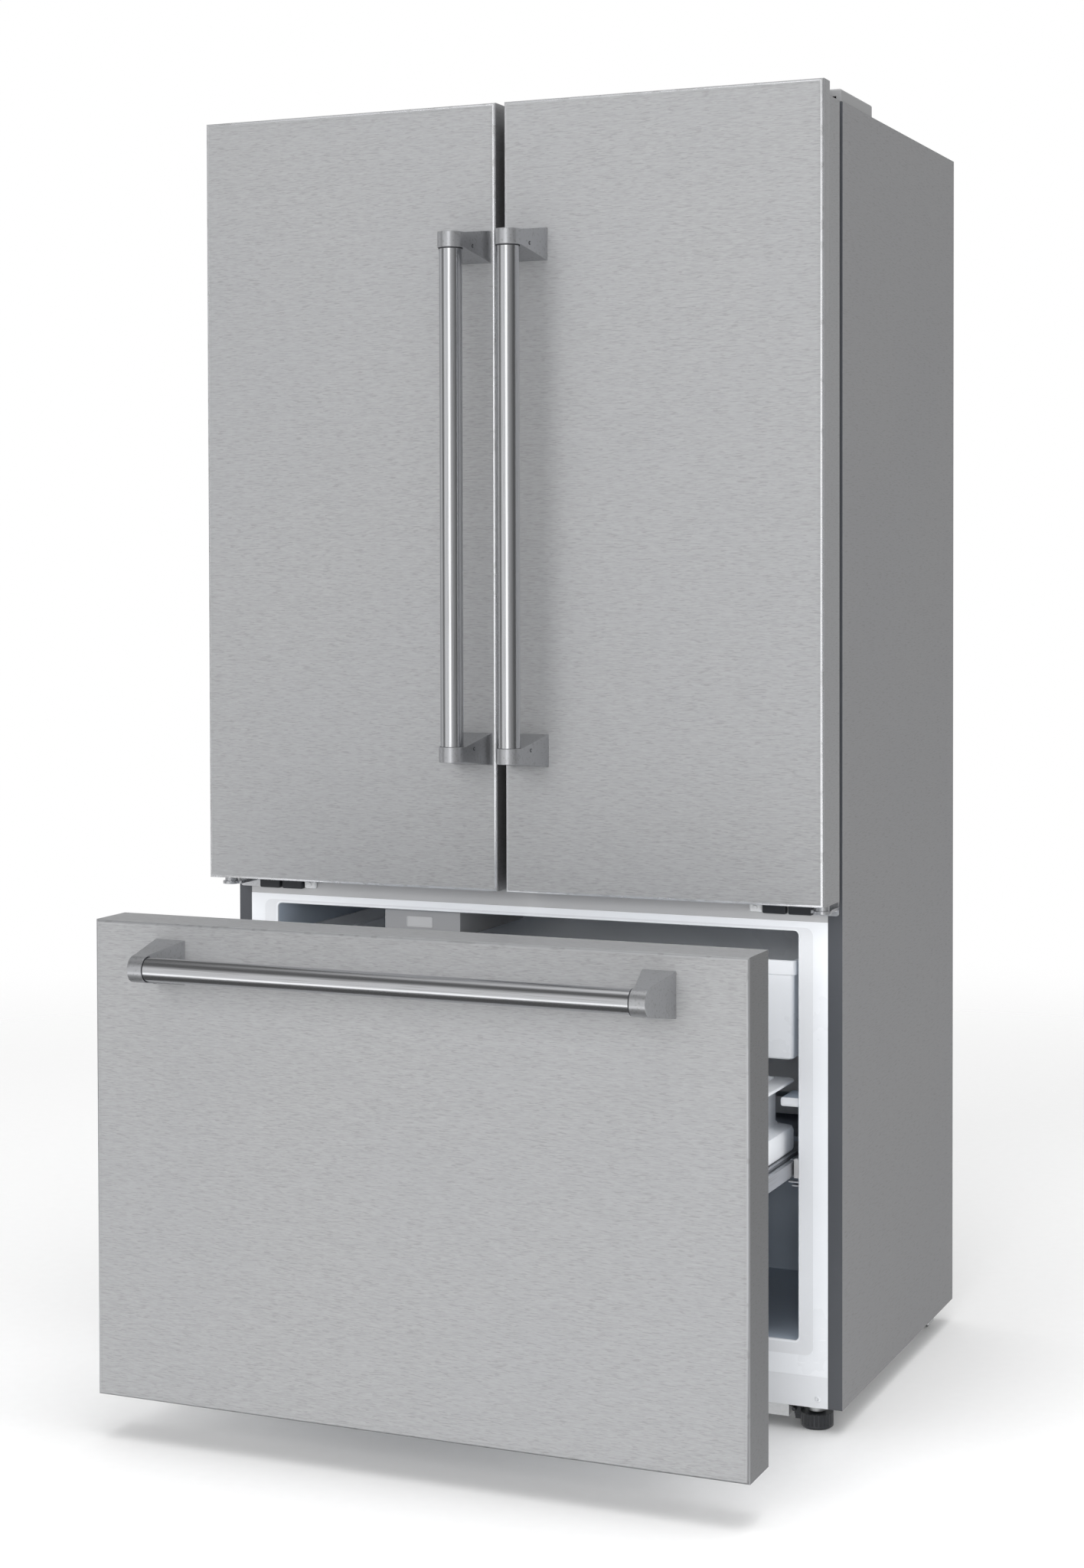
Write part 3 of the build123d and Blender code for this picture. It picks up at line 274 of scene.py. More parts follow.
for side in ("left", "right"):
    sheet = from_node(side + "_side_panel")
    ease(sheet, 0.8, 2)
    # Faces turned to the front take the darker grey: painted shade on the flange.
    for face in sheet.faces:
        if face.normal.y < -0.9:
            face.material_index = 1
    piece(side + "_side_sheet", sheet, "cabinet", [enamel, flange_painted_shade],
          [side + "_side_panel"])

sheet = from_node("top_panel")
ease(sheet, 0.6, 2)
piece("top_sheet", sheet, "cabinet", [enamel], ["top_panel"])

sheet = from_node("back_panel")
ease(sheet, 0.3, 1)
back_low, back_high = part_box("back_panel")
SCREW_INSET = 14 * MM
SPACES_ACROSS = 4
SPACES_UP = 6
span_x = back_high.x - back_low.x - 2 * SCREW_INSET
span_z = back_high.z - back_low.z - 2 * SCREW_INSET
across = [back_low.x + SCREW_INSET + span_x * step / SPACES_ACROSS for step in range(SPACES_ACROSS + 1)]
upward = [back_low.z + SCREW_INSET + span_z * step / SPACES_UP for step in range(SPACES_UP + 1)]
places = [(x, back_high.y, z) for x in across for z in (upward[0], upward[-1])]
places += [(x, back_high.y, z) for x in (across[0], across[-1]) for z in upward[1:-1]]
add_screws(sheet, places, "y")
piece("back_sheet", sheet, "cabinet", [zinc], ["back_panel"])


# ---- door skins and the drawer front ----
# Stainless sheet, brushed level, folded back round the edges. A fine pressed line runs just inside the fold
# all round the face. The folded returns carry the same brush marks in their own copy of the finish, tinted
# as painted shade, deeper on the drawer; the doors' rounded folds carry a painted highlight and the drawer's
# fold painted shade. The drawer's top keeps the front's own finish. The foam bonds to the inside.
steel_sheet = brushed("brushed stainless sheet", (0.355, 0.357, 0.36), 0.44, (75.0, 300.0, 760.0), 0.34, 0.03,
                      sheen=0.4)
# The returns' copies of the sheet's finish are painted shade, the drawer's a deeper one.
return_painted_shade = brushed("folded stainless return, painted shade", (0.46, 0.462, 0.466), 0.4, (90.0, 90.0, 760.0), 0.2, 0.03,
                       sheen=0.8)
drawer_return_painted_shade = brushed("drawer stainless return, deeper painted shade", (0.25, 0.252, 0.256), 0.4, (90.0, 90.0, 760.0), 0.2, 0.03,
                     sheen=0.8)
# The doors' fold copy is a painted highlight, the drawer's fold copy painted shade.
door_fold_painted_highlight = brushed("door fold, painted highlight", (0.74, 0.745, 0.755), 0.26, (60.0, 60.0, 60.0), 0.03, sheen=0.8)
drawer_fold_painted_shade = brushed("drawer fold, painted shade", (0.4, 0.403, 0.41), 0.36, (60.0, 60.0, 60.0), 0.03, sheen=0.7)
LINE_INSET = 2.6
LINE_WIDTH = 0.5
LINE_DEPTH = 0.45
FOLD_DEPTH = 5.0

for body, node in (("left_door", "left_door_skin"), ("right_door", "right_door_skin"),
                   ("freezer_drawer", "drawer_skin")):
    skin = from_node(node)
    low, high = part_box(node)
    for face in skin.faces:
        centre = face.calc_center_median()
        # The drawer's top keeps the front's finish, lighter than the painted-shade returns.
        if node == "drawer_skin" and face.normal.z > 0.9:
            continue
        # Returns, index 1: painted shade.
        if centre.y > low.y + FOLD_DEPTH * MM or abs(face.normal.y) < 0.1:
            face.material_index = 1
        # Faces in the rounded fold, index 2: painted highlight on the doors, painted shade on the drawer.
        elif face.normal.y > -0.98:
            face.material_index = 2
    front = max((face for face in skin.faces if face.normal.y < -0.999), key=lambda face: face.calc_area())
    bmesh.ops.inset_individual(skin, faces=[front], thickness=LINE_INSET * MM)
    for sink in (-LINE_DEPTH, LINE_DEPTH):
        bmesh.ops.inset_individual(skin, faces=[front], thickness=LINE_WIDTH * MM, depth=sink * MM)
    edges = [drawer_return_painted_shade, drawer_fold_painted_shade] if node == "drawer_skin" else [return_painted_shade, door_fold_painted_highlight]
    piece(node + "_sheet", skin, body, [steel_sheet] + edges, [node])


# ---- bar handles ----
# Each is a brushed stainless tube held between two cast brackets. The tube sits in a round socket. A thin
# black ring at its mouth is painted shadow of the gap, and a black set screw in the bracket's flank locks it.
TUBE_COLOUR = (0.66, 0.665, 0.675)
bar_upright = brushed("tube brushed lengthwise, upright", TUBE_COLOUR, 0.2, (900.0, 900.0, 12.0), 0.05, 0.02)
bar_level = brushed("tube brushed lengthwise, level", TUBE_COLOUR, 0.2, (12.0, 900.0, 900.0), 0.05, 0.02)
cast = brushed("satin cast bracket", (0.48, 0.485, 0.495), 0.33, (260.0, 260.0, 260.0), 0.03, 0.03,
               sheen=0.85)
# Black for the socket rings, which are painted shadow, and for the set screws, their own colour.
shadow_ring_and_screw_black = moulded("painted shadow ring and black set screws", (0.02, 0.021, 0.024), 0.5)
TUBE_WALL = 2.0
TUBE_CHAMFER = 0.4
SOCKET_LENGTH = 29.0
NOSE_RADIUS = 17.5
RING_OUTER = 16.4
RING_SUNK = 1.6
RING_PROUD = 0.25
SET_SCREW = 2.6
SCREW_BEHIND = 24.0
BRACKET_EASE = 0.7

for owner, prefix in (("left_door", "left_door"), ("right_door", "right_door"), ("freezer_drawer", "drawer")):
    level_bar = owner == "freezer_drawer"
    bar_node = prefix + "_handle_bar"
    low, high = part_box(bar_node)
    middle = (low + high) / 2
    axis = "x" if level_bar else "z"
    half = ((high.x - low.x) if level_bar else (high.z - low.z)) / 2 / MM
    radius = (high.y - low.y) / 2 / MM
    tube = bmesh.new()
    outline = [(radius - TUBE_WALL, -half), (radius - TUBE_CHAMFER, -half), (radius, -half + TUBE_CHAMFER),
               (radius, half - TUBE_CHAMFER), (radius - TUBE_CHAMFER, half), (radius - TUBE_WALL, half),
               (radius - TUBE_WALL, -half)]
    add_lathe(tube, outline, axis, middle, 72)
    tube_finish = bar_level if level_bar else bar_upright
    piece(prefix + "_handle_tube", tube, owner, [tube_finish], [bar_node])

    bracket_node = prefix + "_handle_brackets"
    brackets = from_node(bracket_node)
    ease(brackets, BRACKET_EASE, 3)
    foot_low, foot_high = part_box(bracket_node)
    ends = ((foot_low.x, 1), (foot_high.x, -1)) if level_bar else ((foot_low.z, 1), (foot_high.z, -1))
    rings = bmesh.new()
    for end, inward in ends:
        mouth = end + inward * SOCKET_LENGTH * MM
        centre = (mouth, middle.y, middle.z) if level_bar else (middle.x, middle.y, mouth)
        # Each hoop is painted shadow: a black ring where the gap between tube and socket falls in shade.
        hoop = [(radius + 0.1, -RING_SUNK), (RING_OUTER, -RING_SUNK), (RING_OUTER, inward * RING_PROUD),
                (radius + 0.1, inward * RING_PROUD), (radius + 0.1, -RING_SUNK)]
        add_lathe(rings, hoop, axis, centre, 48)
    piece(prefix + "_handle_shadow_rings", rings, owner, [shadow_ring_and_screw_black])

    screws = bmesh.new()
    flank = (foot_high.z - foot_low.z if level_bar else foot_high.x - foot_low.x) / 2
    for end, inward in ends:
        along = end + inward * (SOCKET_LENGTH - 4) * MM
        depth = middle.y + SCREW_BEHIND * MM
        share = (depth - middle.y) / (foot_high.y - middle.y)
        out = (NOSE_RADIUS * (1 - share) + flank / MM * share + 0.3) * MM
        spot = (along, depth, middle.z - out) if level_bar else (middle.x + out, depth, along)
        cup = [(0, -1.5), (SET_SCREW * 0.5, -1.5), (SET_SCREW * 0.55, 0.05), (SET_SCREW, 0.05),
               (SET_SCREW, -1.5), (SET_SCREW * 0.9, -2), (0, -2)]
        turned_cup = cup if not level_bar else [(r, -d) for r, d in cup]
        add_lathe(screws, turned_cup, "z" if level_bar else "x", spot, 20)
    piece(prefix + "_handle_set_screws", screws, owner, [shadow_ring_and_screw_black])
    piece(prefix + "_handle_mounts", brackets, owner, [cast], [bracket_node])


# ---- top hinges and their covers ----
# A pressed steel plate screwed to the cabinet top carries each door's upper pin in a knuckle. A moulded
# grey cover clips over it.
hinge_plastic = moulded("grey hinge cover", (0.24, 0.242, 0.246), 0.42, 600.0, 0.08)
covers = from_node("top_hinge_covers")
ease(covers, 0.5, 2)
cover_low, cover_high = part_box("top_hinge_covers")
CAP_INSET = 30 * MM
cap_places = [(side * (cover_high.x - CAP_INSET), cover_low.y + depth, cover_high.z - 0.2 * MM)
              for side in (-1, 1) for depth in (CAP_INSET, cover_high.y - cover_low.y - CAP_INSET)]
add_screws(covers, cap_places, "z", 5.0, 1.0)
piece("hinge_cover_shells", covers, "cabinet", [hinge_plastic], ["top_hinge_covers"])

HINGE_AXIS = (441.0, -47.0)
hinge = from_node("top_hinges")
ease(hinge, 0.4, 2)
knuckle = [(0, 0.2), (8.6, 0.2), (9.2, 0.9), (9.2, 11.4), (8.2, 12.6), (3.2, 12.6), (3.0, 11.4), (0, 11.4),
           (0, 0.2)]
plate_top = cover_low.z + 2 * MM
for side in (-1, 1):
    centre = (side * HINGE_AXIS[0] * MM, cabinet_front + HINGE_AXIS[1] * MM, plate_top)
    add_lathe(hinge, knuckle, "z", centre, 24)
piece("top_hinge_plates", hinge, "cabinet", [plated], ["top_hinges"])


# ---- middle hinges, their screw caps and clips ----
# Under each door a plated bracket screwed to the cabinet front holds the lower pin. Black moulded caps hide
# the screws of its long leaf, and a small white clip ends the row.
black = moulded("black moulding", (0.022, 0.024, 0.028), 0.46, 700.0, 0.05)
clip_white = moulded("white clip", (0.78, 0.79, 0.8), 0.3)
hinge = from_node("middle_hinges")
ease(hinge, 0.5, 2)
leaf_low, leaf_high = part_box("middle_hinges")
screw_places = [(side * (leaf_high.x - 8 * MM), leaf_high.y - 3 * MM, leaf_low.z + 8 * MM)
                for side in (-1, 1)]
add_screws(hinge, screw_places, "-y", 3.2, 1.8)
piece("middle_hinge_brackets", hinge, "cabinet", [plated], ["middle_hinges"])

CAP_OUT = 415.0
CAP_WIDTH = 33.0
CAP_GAP = 3.0
CAP_DEPTH = 11.0
CAP_HEIGHT = 15.0
CLIP_DEPTH = 7.0
CLIP_WIDTH = 17.0


def add_box(bm, low, high):
    """An upright box between two corners in metres. Gives back its vertices."""
    verts = bmesh.ops.create_cube(bm, size=1.0)["verts"]
    bmesh.ops.scale(bm, vec=Vector(high) - Vector(low), verts=verts)
    bmesh.ops.translate(bm, vec=(Vector(low) + Vector(high)) / 2, verts=verts)
    return verts


def add_block(bm, low, high, radius, segments=2):
    """A box between two corners in metres with all its edges rounded."""
    verts = add_box(bm, low, high)
    edges = list({edge for vert in verts for edge in vert.link_edges})
    bmesh.ops.bevel(bm, geom=edges, offset=radius * MM, offset_type="OFFSET", affect="EDGES",
                    segments=segments, profile=0.5, material=-1, clamp_overlap=True)


caps = bmesh.new()
clips = bmesh.new()
for side in (-1, 1):
    edge = CAP_OUT
    for _ in range(2):
        inner = edge - CAP_WIDTH
        ends = sorted((side * edge * MM, side * inner * MM))
        add_block(caps, (ends[0], cabinet_front - CAP_DEPTH * MM, leaf_low.z),
                  (ends[1], cabinet_front - 0.3 * MM, leaf_low.z + CAP_HEIGHT * MM), 2.2, 3)
        edge = inner - CAP_GAP
    ends = sorted((side * (edge + CAP_GAP - 1) * MM, side * (edge - CLIP_WIDTH) * MM))
    add_block(clips, (ends[0], cabinet_front - CLIP_DEPTH * MM, leaf_low.z + 1 * MM),
              (ends[1], cabinet_front - 0.3 * MM, leaf_low.z + 13 * MM), 3, 3)
    add_lathe(clips, [(0, -9), (2.6, -9), (3.2, -8), (3.2, -6), (0, -6)], "y",
              ((ends[0] + ends[1]) / 2, cabinet_front, leaf_low.z + 7 * MM), 16)
piece("hinge_screw_caps", caps, "cabinet", [black])
piece("hinge_leaf_clips", clips, "cabinet", [clip_white])


# ---- freezer liner, dividing strip and kick cover ----
# One vacuum-formed white shell lines the freezer, with rounded corners and a stepped landing for the drawer's
# gasket. Its faces set back inside the cavity take a darker bluish white, painted shade, and the landing a
# slightly darker white, painted shade too. A pale grey strip covers the divider between the compartments. A
# screwed white cover closes the foot.
white = moulded("white liner plastic", (0.85, 0.87, 0.9), 0.3, 320.0, 0.05, 0.025)
# The cavity's darker bluish white is painted shade.
cavity_painted_shade = moulded("liner plastic with painted shade inside the cavity", (0.56, 0.63, 0.72), 0.34, 320.0, 0.05, 0.025)
# Slightly darker white: painted shade on the gasket landing, and the kick cover's own colour.
landing_shade_and_kick_white = moulded("gasket landing plastic", (0.75, 0.765, 0.79), 0.36, 320.0, 0.05, 0.025)
pale_grey = moulded("pale grey moulding", (0.47, 0.472, 0.48), 0.36, 500.0, 0.06, 0.03)


def add_outline(bm, x, z, level, radius, turn=None, segments=5):
    """A flat rounded rectangle: x and z are its two ranges in metres, level its place on the third axis."""
    verts = bmesh.ops.create_grid(bm, x_segments=1, y_segments=1, size=0.5)["verts"]
    bmesh.ops.scale(bm, vec=(x[1] - x[0], z[1] - z[0], 1), verts=verts)
    bmesh.ops.translate(bm, vec=((x[0] + x[1]) / 2, (z[0] + z[1]) / 2, level), verts=verts)
    if turn:
        bmesh.ops.transform(bm, matrix=turn, verts=verts)
    rounded = bmesh.ops.bevel(bm, geom=verts, offset=radius * MM, offset_type="OFFSET", affect="VERTICES",
                              segments=segments, profile=0.5, material=-1, clamp_overlap=True)
    return rounded["verts"][0].link_faces[0]


def add_shell(bm, outlines, turn=None, close_first=True, close_last=True):
    """Bridge a row of outlines, each (x range, z range, level, radius), and close its two ends if asked."""
    for pair in zip(outlines, outlines[1:]):
        faces = [add_outline(bm, *outline, turn) for outline in pair]
        edges = [edge for face in faces for edge in face.edges]
        bmesh.ops.delete(bm, geom=faces, context="FACES_ONLY")
        bmesh.ops.bridge_loops(bm, edges=edges)
    for close, outline in ((close_first, outlines[0]), (close_last, outlines[-1])):
        if close:
            add_outline(bm, *outline, turn)
    bmesh.ops.remove_doubles(bm, verts=bm.verts, dist=0.002 * MM)


FACING = Matrix.Rotation(math.pi / 2, 4, "X")
STEP_OUT = 23.0
STEP_SINK = 1.5
SHELL = 2.0
MOUTH_RADIUS = 5.0
STEP_BACK = 340.0
LEDGE_BOTTOM = 432.0
LEDGE_TOP = 444.0
LEDGE_FRONT = 5.0
LEDGE_BACK = 60.0
LEDGE_WIDTH = 26.0
low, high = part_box("freezer_liner")
cavity_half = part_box("upper_freezer_drawer")[1].x + 2 * MM
floor_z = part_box("freezer_basket")[0].z - 20 * MM
ceiling_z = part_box("ice_maker")[1].z + 0.2 * MM
step_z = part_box("evaporator_cover")[0].z - 8 * MM


def liner_hoop(out_x, out_low, out_high, depth, radius):
    """One hoop of the liner, pushed out from the cavity's mouth and set back from the cabinet front."""
    reach = (-cavity_half - out_x * MM, cavity_half + out_x * MM)
    return reach, (floor_z - out_low * MM, ceiling_z + out_high * MM), -(low.y + depth * MM), radius


liner = bmesh.new()
flange = ((low.x, high.x), (low.z, high.z), -low.y, 0.4)
back_flange = ((low.x, high.x), (low.z, high.z), -(low.y + SHELL * MM), 0.4)
mouth = [back_flange, flange, liner_hoop(STEP_OUT + 2, 22.5, 8, 0, 13),
         liner_hoop(STEP_OUT - 2, 18.5, 5.5, STEP_SINK, 11), liner_hoop(3, 3, 3, STEP_SINK, 8),
         liner_hoop(1, 1, 1, STEP_SINK + 0.8, 7), liner_hoop(0, 0, 0, 4, MOUTH_RADIUS),
         liner_hoop(0, 0, 0, STEP_BACK, MOUTH_RADIUS)]
add_shell(liner, mouth, FACING, False, False)
over = [((-cavity_half, cavity_half), (step_z, ceiling_z), -(low.y + STEP_BACK * MM), MOUTH_RADIUS),
        ((-cavity_half, cavity_half), (step_z, ceiling_z), -(high.y - SHELL * MM), MOUTH_RADIUS)]
add_shell(liner, over, FACING, False, True)
add_box(liner, (-cavity_half, low.y + STEP_BACK * MM, floor_z),
        (cavity_half, low.y + (STEP_BACK + 1) * MM, step_z))
for side in (-1, 1):
    ends = sorted((side * (cavity_half + 0.5 * MM), side * (cavity_half - LEDGE_WIDTH * MM)))
    add_block(liner, (ends[0], low.y + LEDGE_FRONT * MM, LEDGE_BOTTOM * MM),
              (ends[1], low.y + LEDGE_BACK * MM, LEDGE_TOP * MM), 3, 3)
# Faces set back inside the cavity take the bluish painted shade.
for face in liner.faces:
    centre = face.calc_center_median()
    if centre.y > low.y + 8 * MM:
        face.material_index = 1
    # The landing's forward faces: painted shade, a slightly darker white.
    elif centre.y > low.y + 0.6 * MM and face.normal.y < -0.9 and abs(centre.x) < cavity_half + STEP_OUT * MM:
        face.material_index = 2
piece("freezer_liner_shell", liner, "cabinet", [white, cavity_painted_shade, landing_shade_and_kick_white],
      ["freezer_liner"])

strip = from_node("mullion_cover")
ease(strip, 0.6, 2)
piece("divider_strip", strip, "cabinet", [pale_grey], ["mullion_cover"])

kick = from_node("base_cover")
kick_low, kick_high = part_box("base_cover")
ease(kick, 0.5, 2, clamp=False)
kick_screws = [(side * (kick_high.x - 14 * MM), kick_low.y + 0.3 * MM, kick_low.z + 12 * MM)
               for side in (-1, 1)]
add_screws(kick, kick_screws, "-y", 4.2, 1.6)
piece("kick_cover", kick, "cabinet", [landing_shade_and_kick_white], ["base_cover"])


# ---- upper freezer drawer and lower basket ----
# Both are injection-moulded white tubs. The upper drawer has a deep band round its rim and rounded corners.
# The basket has a flat outturned rim, a recessed neck and a rounded shoulder that sits on the drawer's
# frames.
def add_tub(bm, hoops, wall, floor):
    """A tub from its outer hoops, bottom first, and hoops inside them for its wall and floor."""
    inner = []
    for x, y, level, radius in reversed(hoops):
        raised = max(level, hoops[0][2] + floor * MM)
        inner.append(((x[0] + wall * MM, x[1] - wall * MM), (y[0] + wall * MM, y[1] - wall * MM),
                      raised, max(1.0, radius - wall)))
    add_shell(bm, hoops + inner)


low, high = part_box("upper_freezer_drawer")
half = high.x - 4 * MM
BAND = 19.0
BAND_OUT = 3.6
tub = bmesh.new()


def tub_hoop(shrink, level, radius):
    reach = (-half + shrink * MM, half - shrink * MM)
    return reach, (low.y + shrink * MM, high.y - shrink * MM), level, radius


add_tub(tub, [tub_hoop(8, low.z, 5), tub_hoop(5.4, low.z + 2 * MM, 6), tub_hoop(4.6, low.z + 9 * MM, 6),
              tub_hoop(BAND_OUT, high.z - (BAND + 1) * MM, 6), tub_hoop(0, high.z - BAND * MM, 7),
              tub_hoop(0, high.z - 1.2 * MM, 7), tub_hoop(1, high.z, 6)], 3, 3)
for side in (-1, 1):
    ends = sorted((side * (half - 1 * MM), side * high.x))
    add_block(tub, (ends[0], low.y + 20 * MM, high.z - 18 * MM),
              (ends[1], high.y - 2 * MM, high.z - 12 * MM), 1.2)
piece("upper_drawer_tub", tub, "upper_freezer_drawer", [white], ["upper_freezer_drawer"])

low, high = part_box("freezer_basket")
half = high.x
NECK_IN = 26.0
WELL_BACK = 27.0
basket = bmesh.new()


def basket_hoop(shrink, rise, radius, back=0.0):
    reach = (-half + shrink * MM, half - shrink * MM)
    return reach, (low.y + min(shrink, NECK_IN) * 0.12 * MM, high.y - back * MM), low.z + rise * MM, radius


outer = [basket_hoop(48, 0, 14, WELL_BACK + 8), basket_hoop(40, 2, 18, WELL_BACK + 4),
         basket_hoop(35, 16, 20, WELL_BACK + 1), basket_hoop(34, 222, 20, WELL_BACK), basket_hoop(3, 224, 10),
         basket_hoop(0, 228, 12), basket_hoop(0, 252, 12), basket_hoop(2.4, 257, 12),
         basket_hoop(NECK_IN - 4, 259, 11), basket_hoop(NECK_IN, 263, 11), basket_hoop(NECK_IN, 314, 11),
         basket_hoop(NECK_IN - 2, 316.5, 11), basket_hoop(1, 317, 12), basket_hoop(0, 318, 12),
         basket_hoop(0, 320.2, 12), basket_hoop(1, 321, 12)]
inner = [basket_hoop(NECK_IN + 1, 321, 10, 3), basket_hoop(NECK_IN + 3, 319, 10, 3),
         basket_hoop(NECK_IN + 3, 228, 10, 3), basket_hoop(37, 227, 18, WELL_BACK + 3),
         basket_hoop(38, 16, 18, WELL_BACK + 4), basket_hoop(43, 5, 16, WELL_BACK + 7)]
add_shell(basket, outer + inner)
piece("lower_basket", basket, "freezer_drawer", [white], ["freezer_basket"])


# ---- drawer slides, side frames and their brackets ----
# Roll-formed plated steel sections run in each other on each side, screwed to a moulded rib on the liner. A
# folded side frame with a slanted gusset hangs the drawer front. A buffer and two small plates end each
# fixed rail.
rail_steel = brushed("rolled rail steel", (0.46, 0.47, 0.49), 0.34, (320.0, 9.0, 320.0), 0.1, sheen=0.85)
SECTION_SHARE = 0.6
SECTION_RISE = 6.0
WEB_TRIM = 11.0
rail_low, rail_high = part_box("outer_rails")
frame_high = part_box("drawer_side_frames")[1]
WEB_BOTTOM = 327 * MM
for node, body in (("outer_rails", "cabinet"), ("middle_rails", "middle_rails"),
                   ("inner_rails", "freezer_drawer")):
    rail = from_node(node)
    ease(rail, 0.35, 2)
    middle_z = (rail_low.z + rail_high.z) / 2
    for vert in rail.verts:
        side = math.copysign(1, vert.co.x)
        vert.co.x = side * (frame_high.x + (abs(vert.co.x) - frame_high.x) * SECTION_SHARE)
        vert.co.z = middle_z + (vert.co.z - middle_z) * SECTION_SHARE + SECTION_RISE * MM
    piece(node + "_formed", rail, body, [rail_steel], [node])

hanger = from_node("drawer_side_frames")
trimmed = [vert for vert in hanger.verts if abs(vert.co.z - WEB_BOTTOM) < MM]
bmesh.ops.translate(hanger, verts=trimmed, vec=(0, 0, WEB_TRIM * MM))
ease(hanger, 0.35, 2)
piece("side_frames_folded", hanger, "freezer_drawer", [rail_steel],
      ["drawer_side_frames"])

rail_out = frame_high.x + (rail_high.x - frame_high.x) * SECTION_SHARE
ribs = bmesh.new()
buffers = bmesh.new()
plates = bmesh.new()
for side in (-1, 1):
    for made, reach, front, back, bottom, top, radius in (
            (ribs, rail_out + 0.2 * MM, 12, 380, 338, 360, 1.5),
            (buffers, rail_out + 0.4 * MM, 3, 11, 337, 363, 1.5),
            (plates, cavity_half - 14 * MM, 4, 9, 331, 333, 0.4),
            (plates, cavity_half - 9 * MM, 4, 9, 326, 328, 0.4)):
        ends = sorted((side * (cavity_half + 0.3 * MM), side * reach))
        add_block(made, (ends[0], cabinet_front + front * MM, bottom * MM),
                  (ends[1], cabinet_front + back * MM, top * MM), radius)
piece("rail_ribs", ribs, "cabinet", [white])
piece("rail_buffers", buffers, "cabinet", [pale_grey])
piece("rail_end_plates", plates, "cabinet", [plated])


# ---- ice maker ----
# A grey moulded housing screwed under the freezer's ceiling holds the ice tray and its drive. A blank framed
# plate of pale plastic sits on its front.
housing_grey = moulded("ice maker grey", (0.3, 0.302, 0.31), 0.42)
low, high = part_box("ice_maker")
ice = from_node("ice_maker")
ease(ice, 1.2, 2)
piece("ice_maker_housing", ice, "cabinet", [housing_grey], ["ice_maker"])
PLATE_LEFT = 35.0
PLATE_WIDTH = 40.0
PLATE_HEIGHT = 15.0
PLATE_RAISED = 13.0
plate = bmesh.new()
left = low.x + PLATE_LEFT * MM
bottom = low.z + PLATE_RAISED * MM
corner = (left + PLATE_WIDTH * MM, bottom + PLATE_HEIGHT * MM)
PROFILE = ((0, -0.3, 2), (0, 0.7, 2), (-1.1 * MM, 0.7, 1.4), (-1.3 * MM, 0.2, 1.3))
frame_hoops = [((left - pad, corner[0] + pad), (bottom - pad, corner[1] + pad), -(low.y - depth * MM), radius)
               for pad, depth, radius in PROFILE]
add_shell(plate, frame_hoops, FACING)
piece("ice_maker_plate_frame", plate, "cabinet", [pale_grey])


# ---- evaporator cover, coil and fan ----
# A white louvred panel closes off the finned aluminium evaporator. The fan behind its grille blows cold air
# forward.
fins = spangled("aluminium fins", (0.72, 0.74, 0.75), 0.32)


def refinish(node, finish):
    """Give a CAD piece that shows as it is a new finish."""
    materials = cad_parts[node].data.materials
    materials.clear()
    materials.append(finish)


cover = from_node("evaporator_cover")
ease(cover, 0.5, 1)
piece("evaporator_panel", cover, "cabinet", [white], ["evaporator_cover"])
refinish("evaporator_coil", fins)
for node in ("evaporator_fan", "condenser_fan"):
    wheel = from_node(node)
    ease(wheel, 0.5, 1)
    piece(node + "_wheel", wheel, node, [black], [node])


# ---- fridge liner, shelves, crispers and duct ----
# The upper liner is white with moulded ledges. Toughened glass shelves have a white edge strip at the front
# and back. Two clear crispers with a grip lie under the lowest shelf, and a slotted duct runs up the back
# wall.
glass = moulded("toughened shelf glass", (0.9, 0.96, 0.94), 0.08, 60.0, 0.002, 0.02,
                Transmission_Weight=0.96, IOR=1.5)
clear = moulded("clear crisper plastic", (0.94, 0.965, 0.98), 0.12, 90.0, 0.01, 0.02,
                Transmission_Weight=0.92, IOR=1.46)
liner = from_node("fridge_liner")
ease(liner, 2.5, 3)
piece("fridge_liner_shell", liner, "cabinet", [white], ["fridge_liner"])

shelves = from_node("glass_shelves")
ease(shelves, 0.6, 2)
piece("shelf_panes", shelves, "cabinet", [glass], ["glass_shelves"])
low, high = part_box("glass_shelves")
PANE = 5 * MM
levels = sorted({round(vert.co.z, 4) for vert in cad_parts["glass_shelves"].data.vertices})
shelf_tops = [top for top in levels if round(top - PANE, 4) in levels]
trims = bmesh.new()
for top in shelf_tops:
    for y0, y1 in ((low.y - 3 * MM, low.y + 14 * MM), (high.y - 10 * MM, high.y + 3 * MM)):
        add_block(trims, (low.x + 2 * MM, y0, top - 8 * MM), (high.x - 2 * MM, y1, top + 4 * MM), 2.4, 3)
piece("shelf_trims", trims, "cabinet", [white])

for side in ("left", "right"):
    crisper = from_node(side + "_crisper")
    ease(crisper, 1.2, 3)
    piece(side + "_crisper_drawer", crisper, side + "_crisper", [clear], [side + "_crisper"])

duct = from_node("air_duct")
ease(duct, 0.8, 2)
piece("air_duct_cover", duct, "cabinet", [white], ["air_duct"])

LAMP_HALF = 70.0
LAMP_FRONT = 60.0
LAMP_BACK = 150.0
CEILING_OVER_DUCT = 23.0
lens = bmesh.new()
frosted = moulded("frosted lamp lens", (0.9, 0.93, 0.97), 0.35, 300.0, 0.03, 0.02)
liner_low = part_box("fridge_liner")[0]
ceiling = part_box("air_duct")[1].z + CEILING_OVER_DUCT * MM
add_block(lens, (-LAMP_HALF * MM, liner_low.y + LAMP_FRONT * MM, ceiling - 6 * MM),
          (LAMP_HALF * MM, liner_low.y + LAMP_BACK * MM, ceiling + 0.5 * MM), 3, 3)
piece("ceiling_lamp_lens", lens, "cabinet", [frosted])


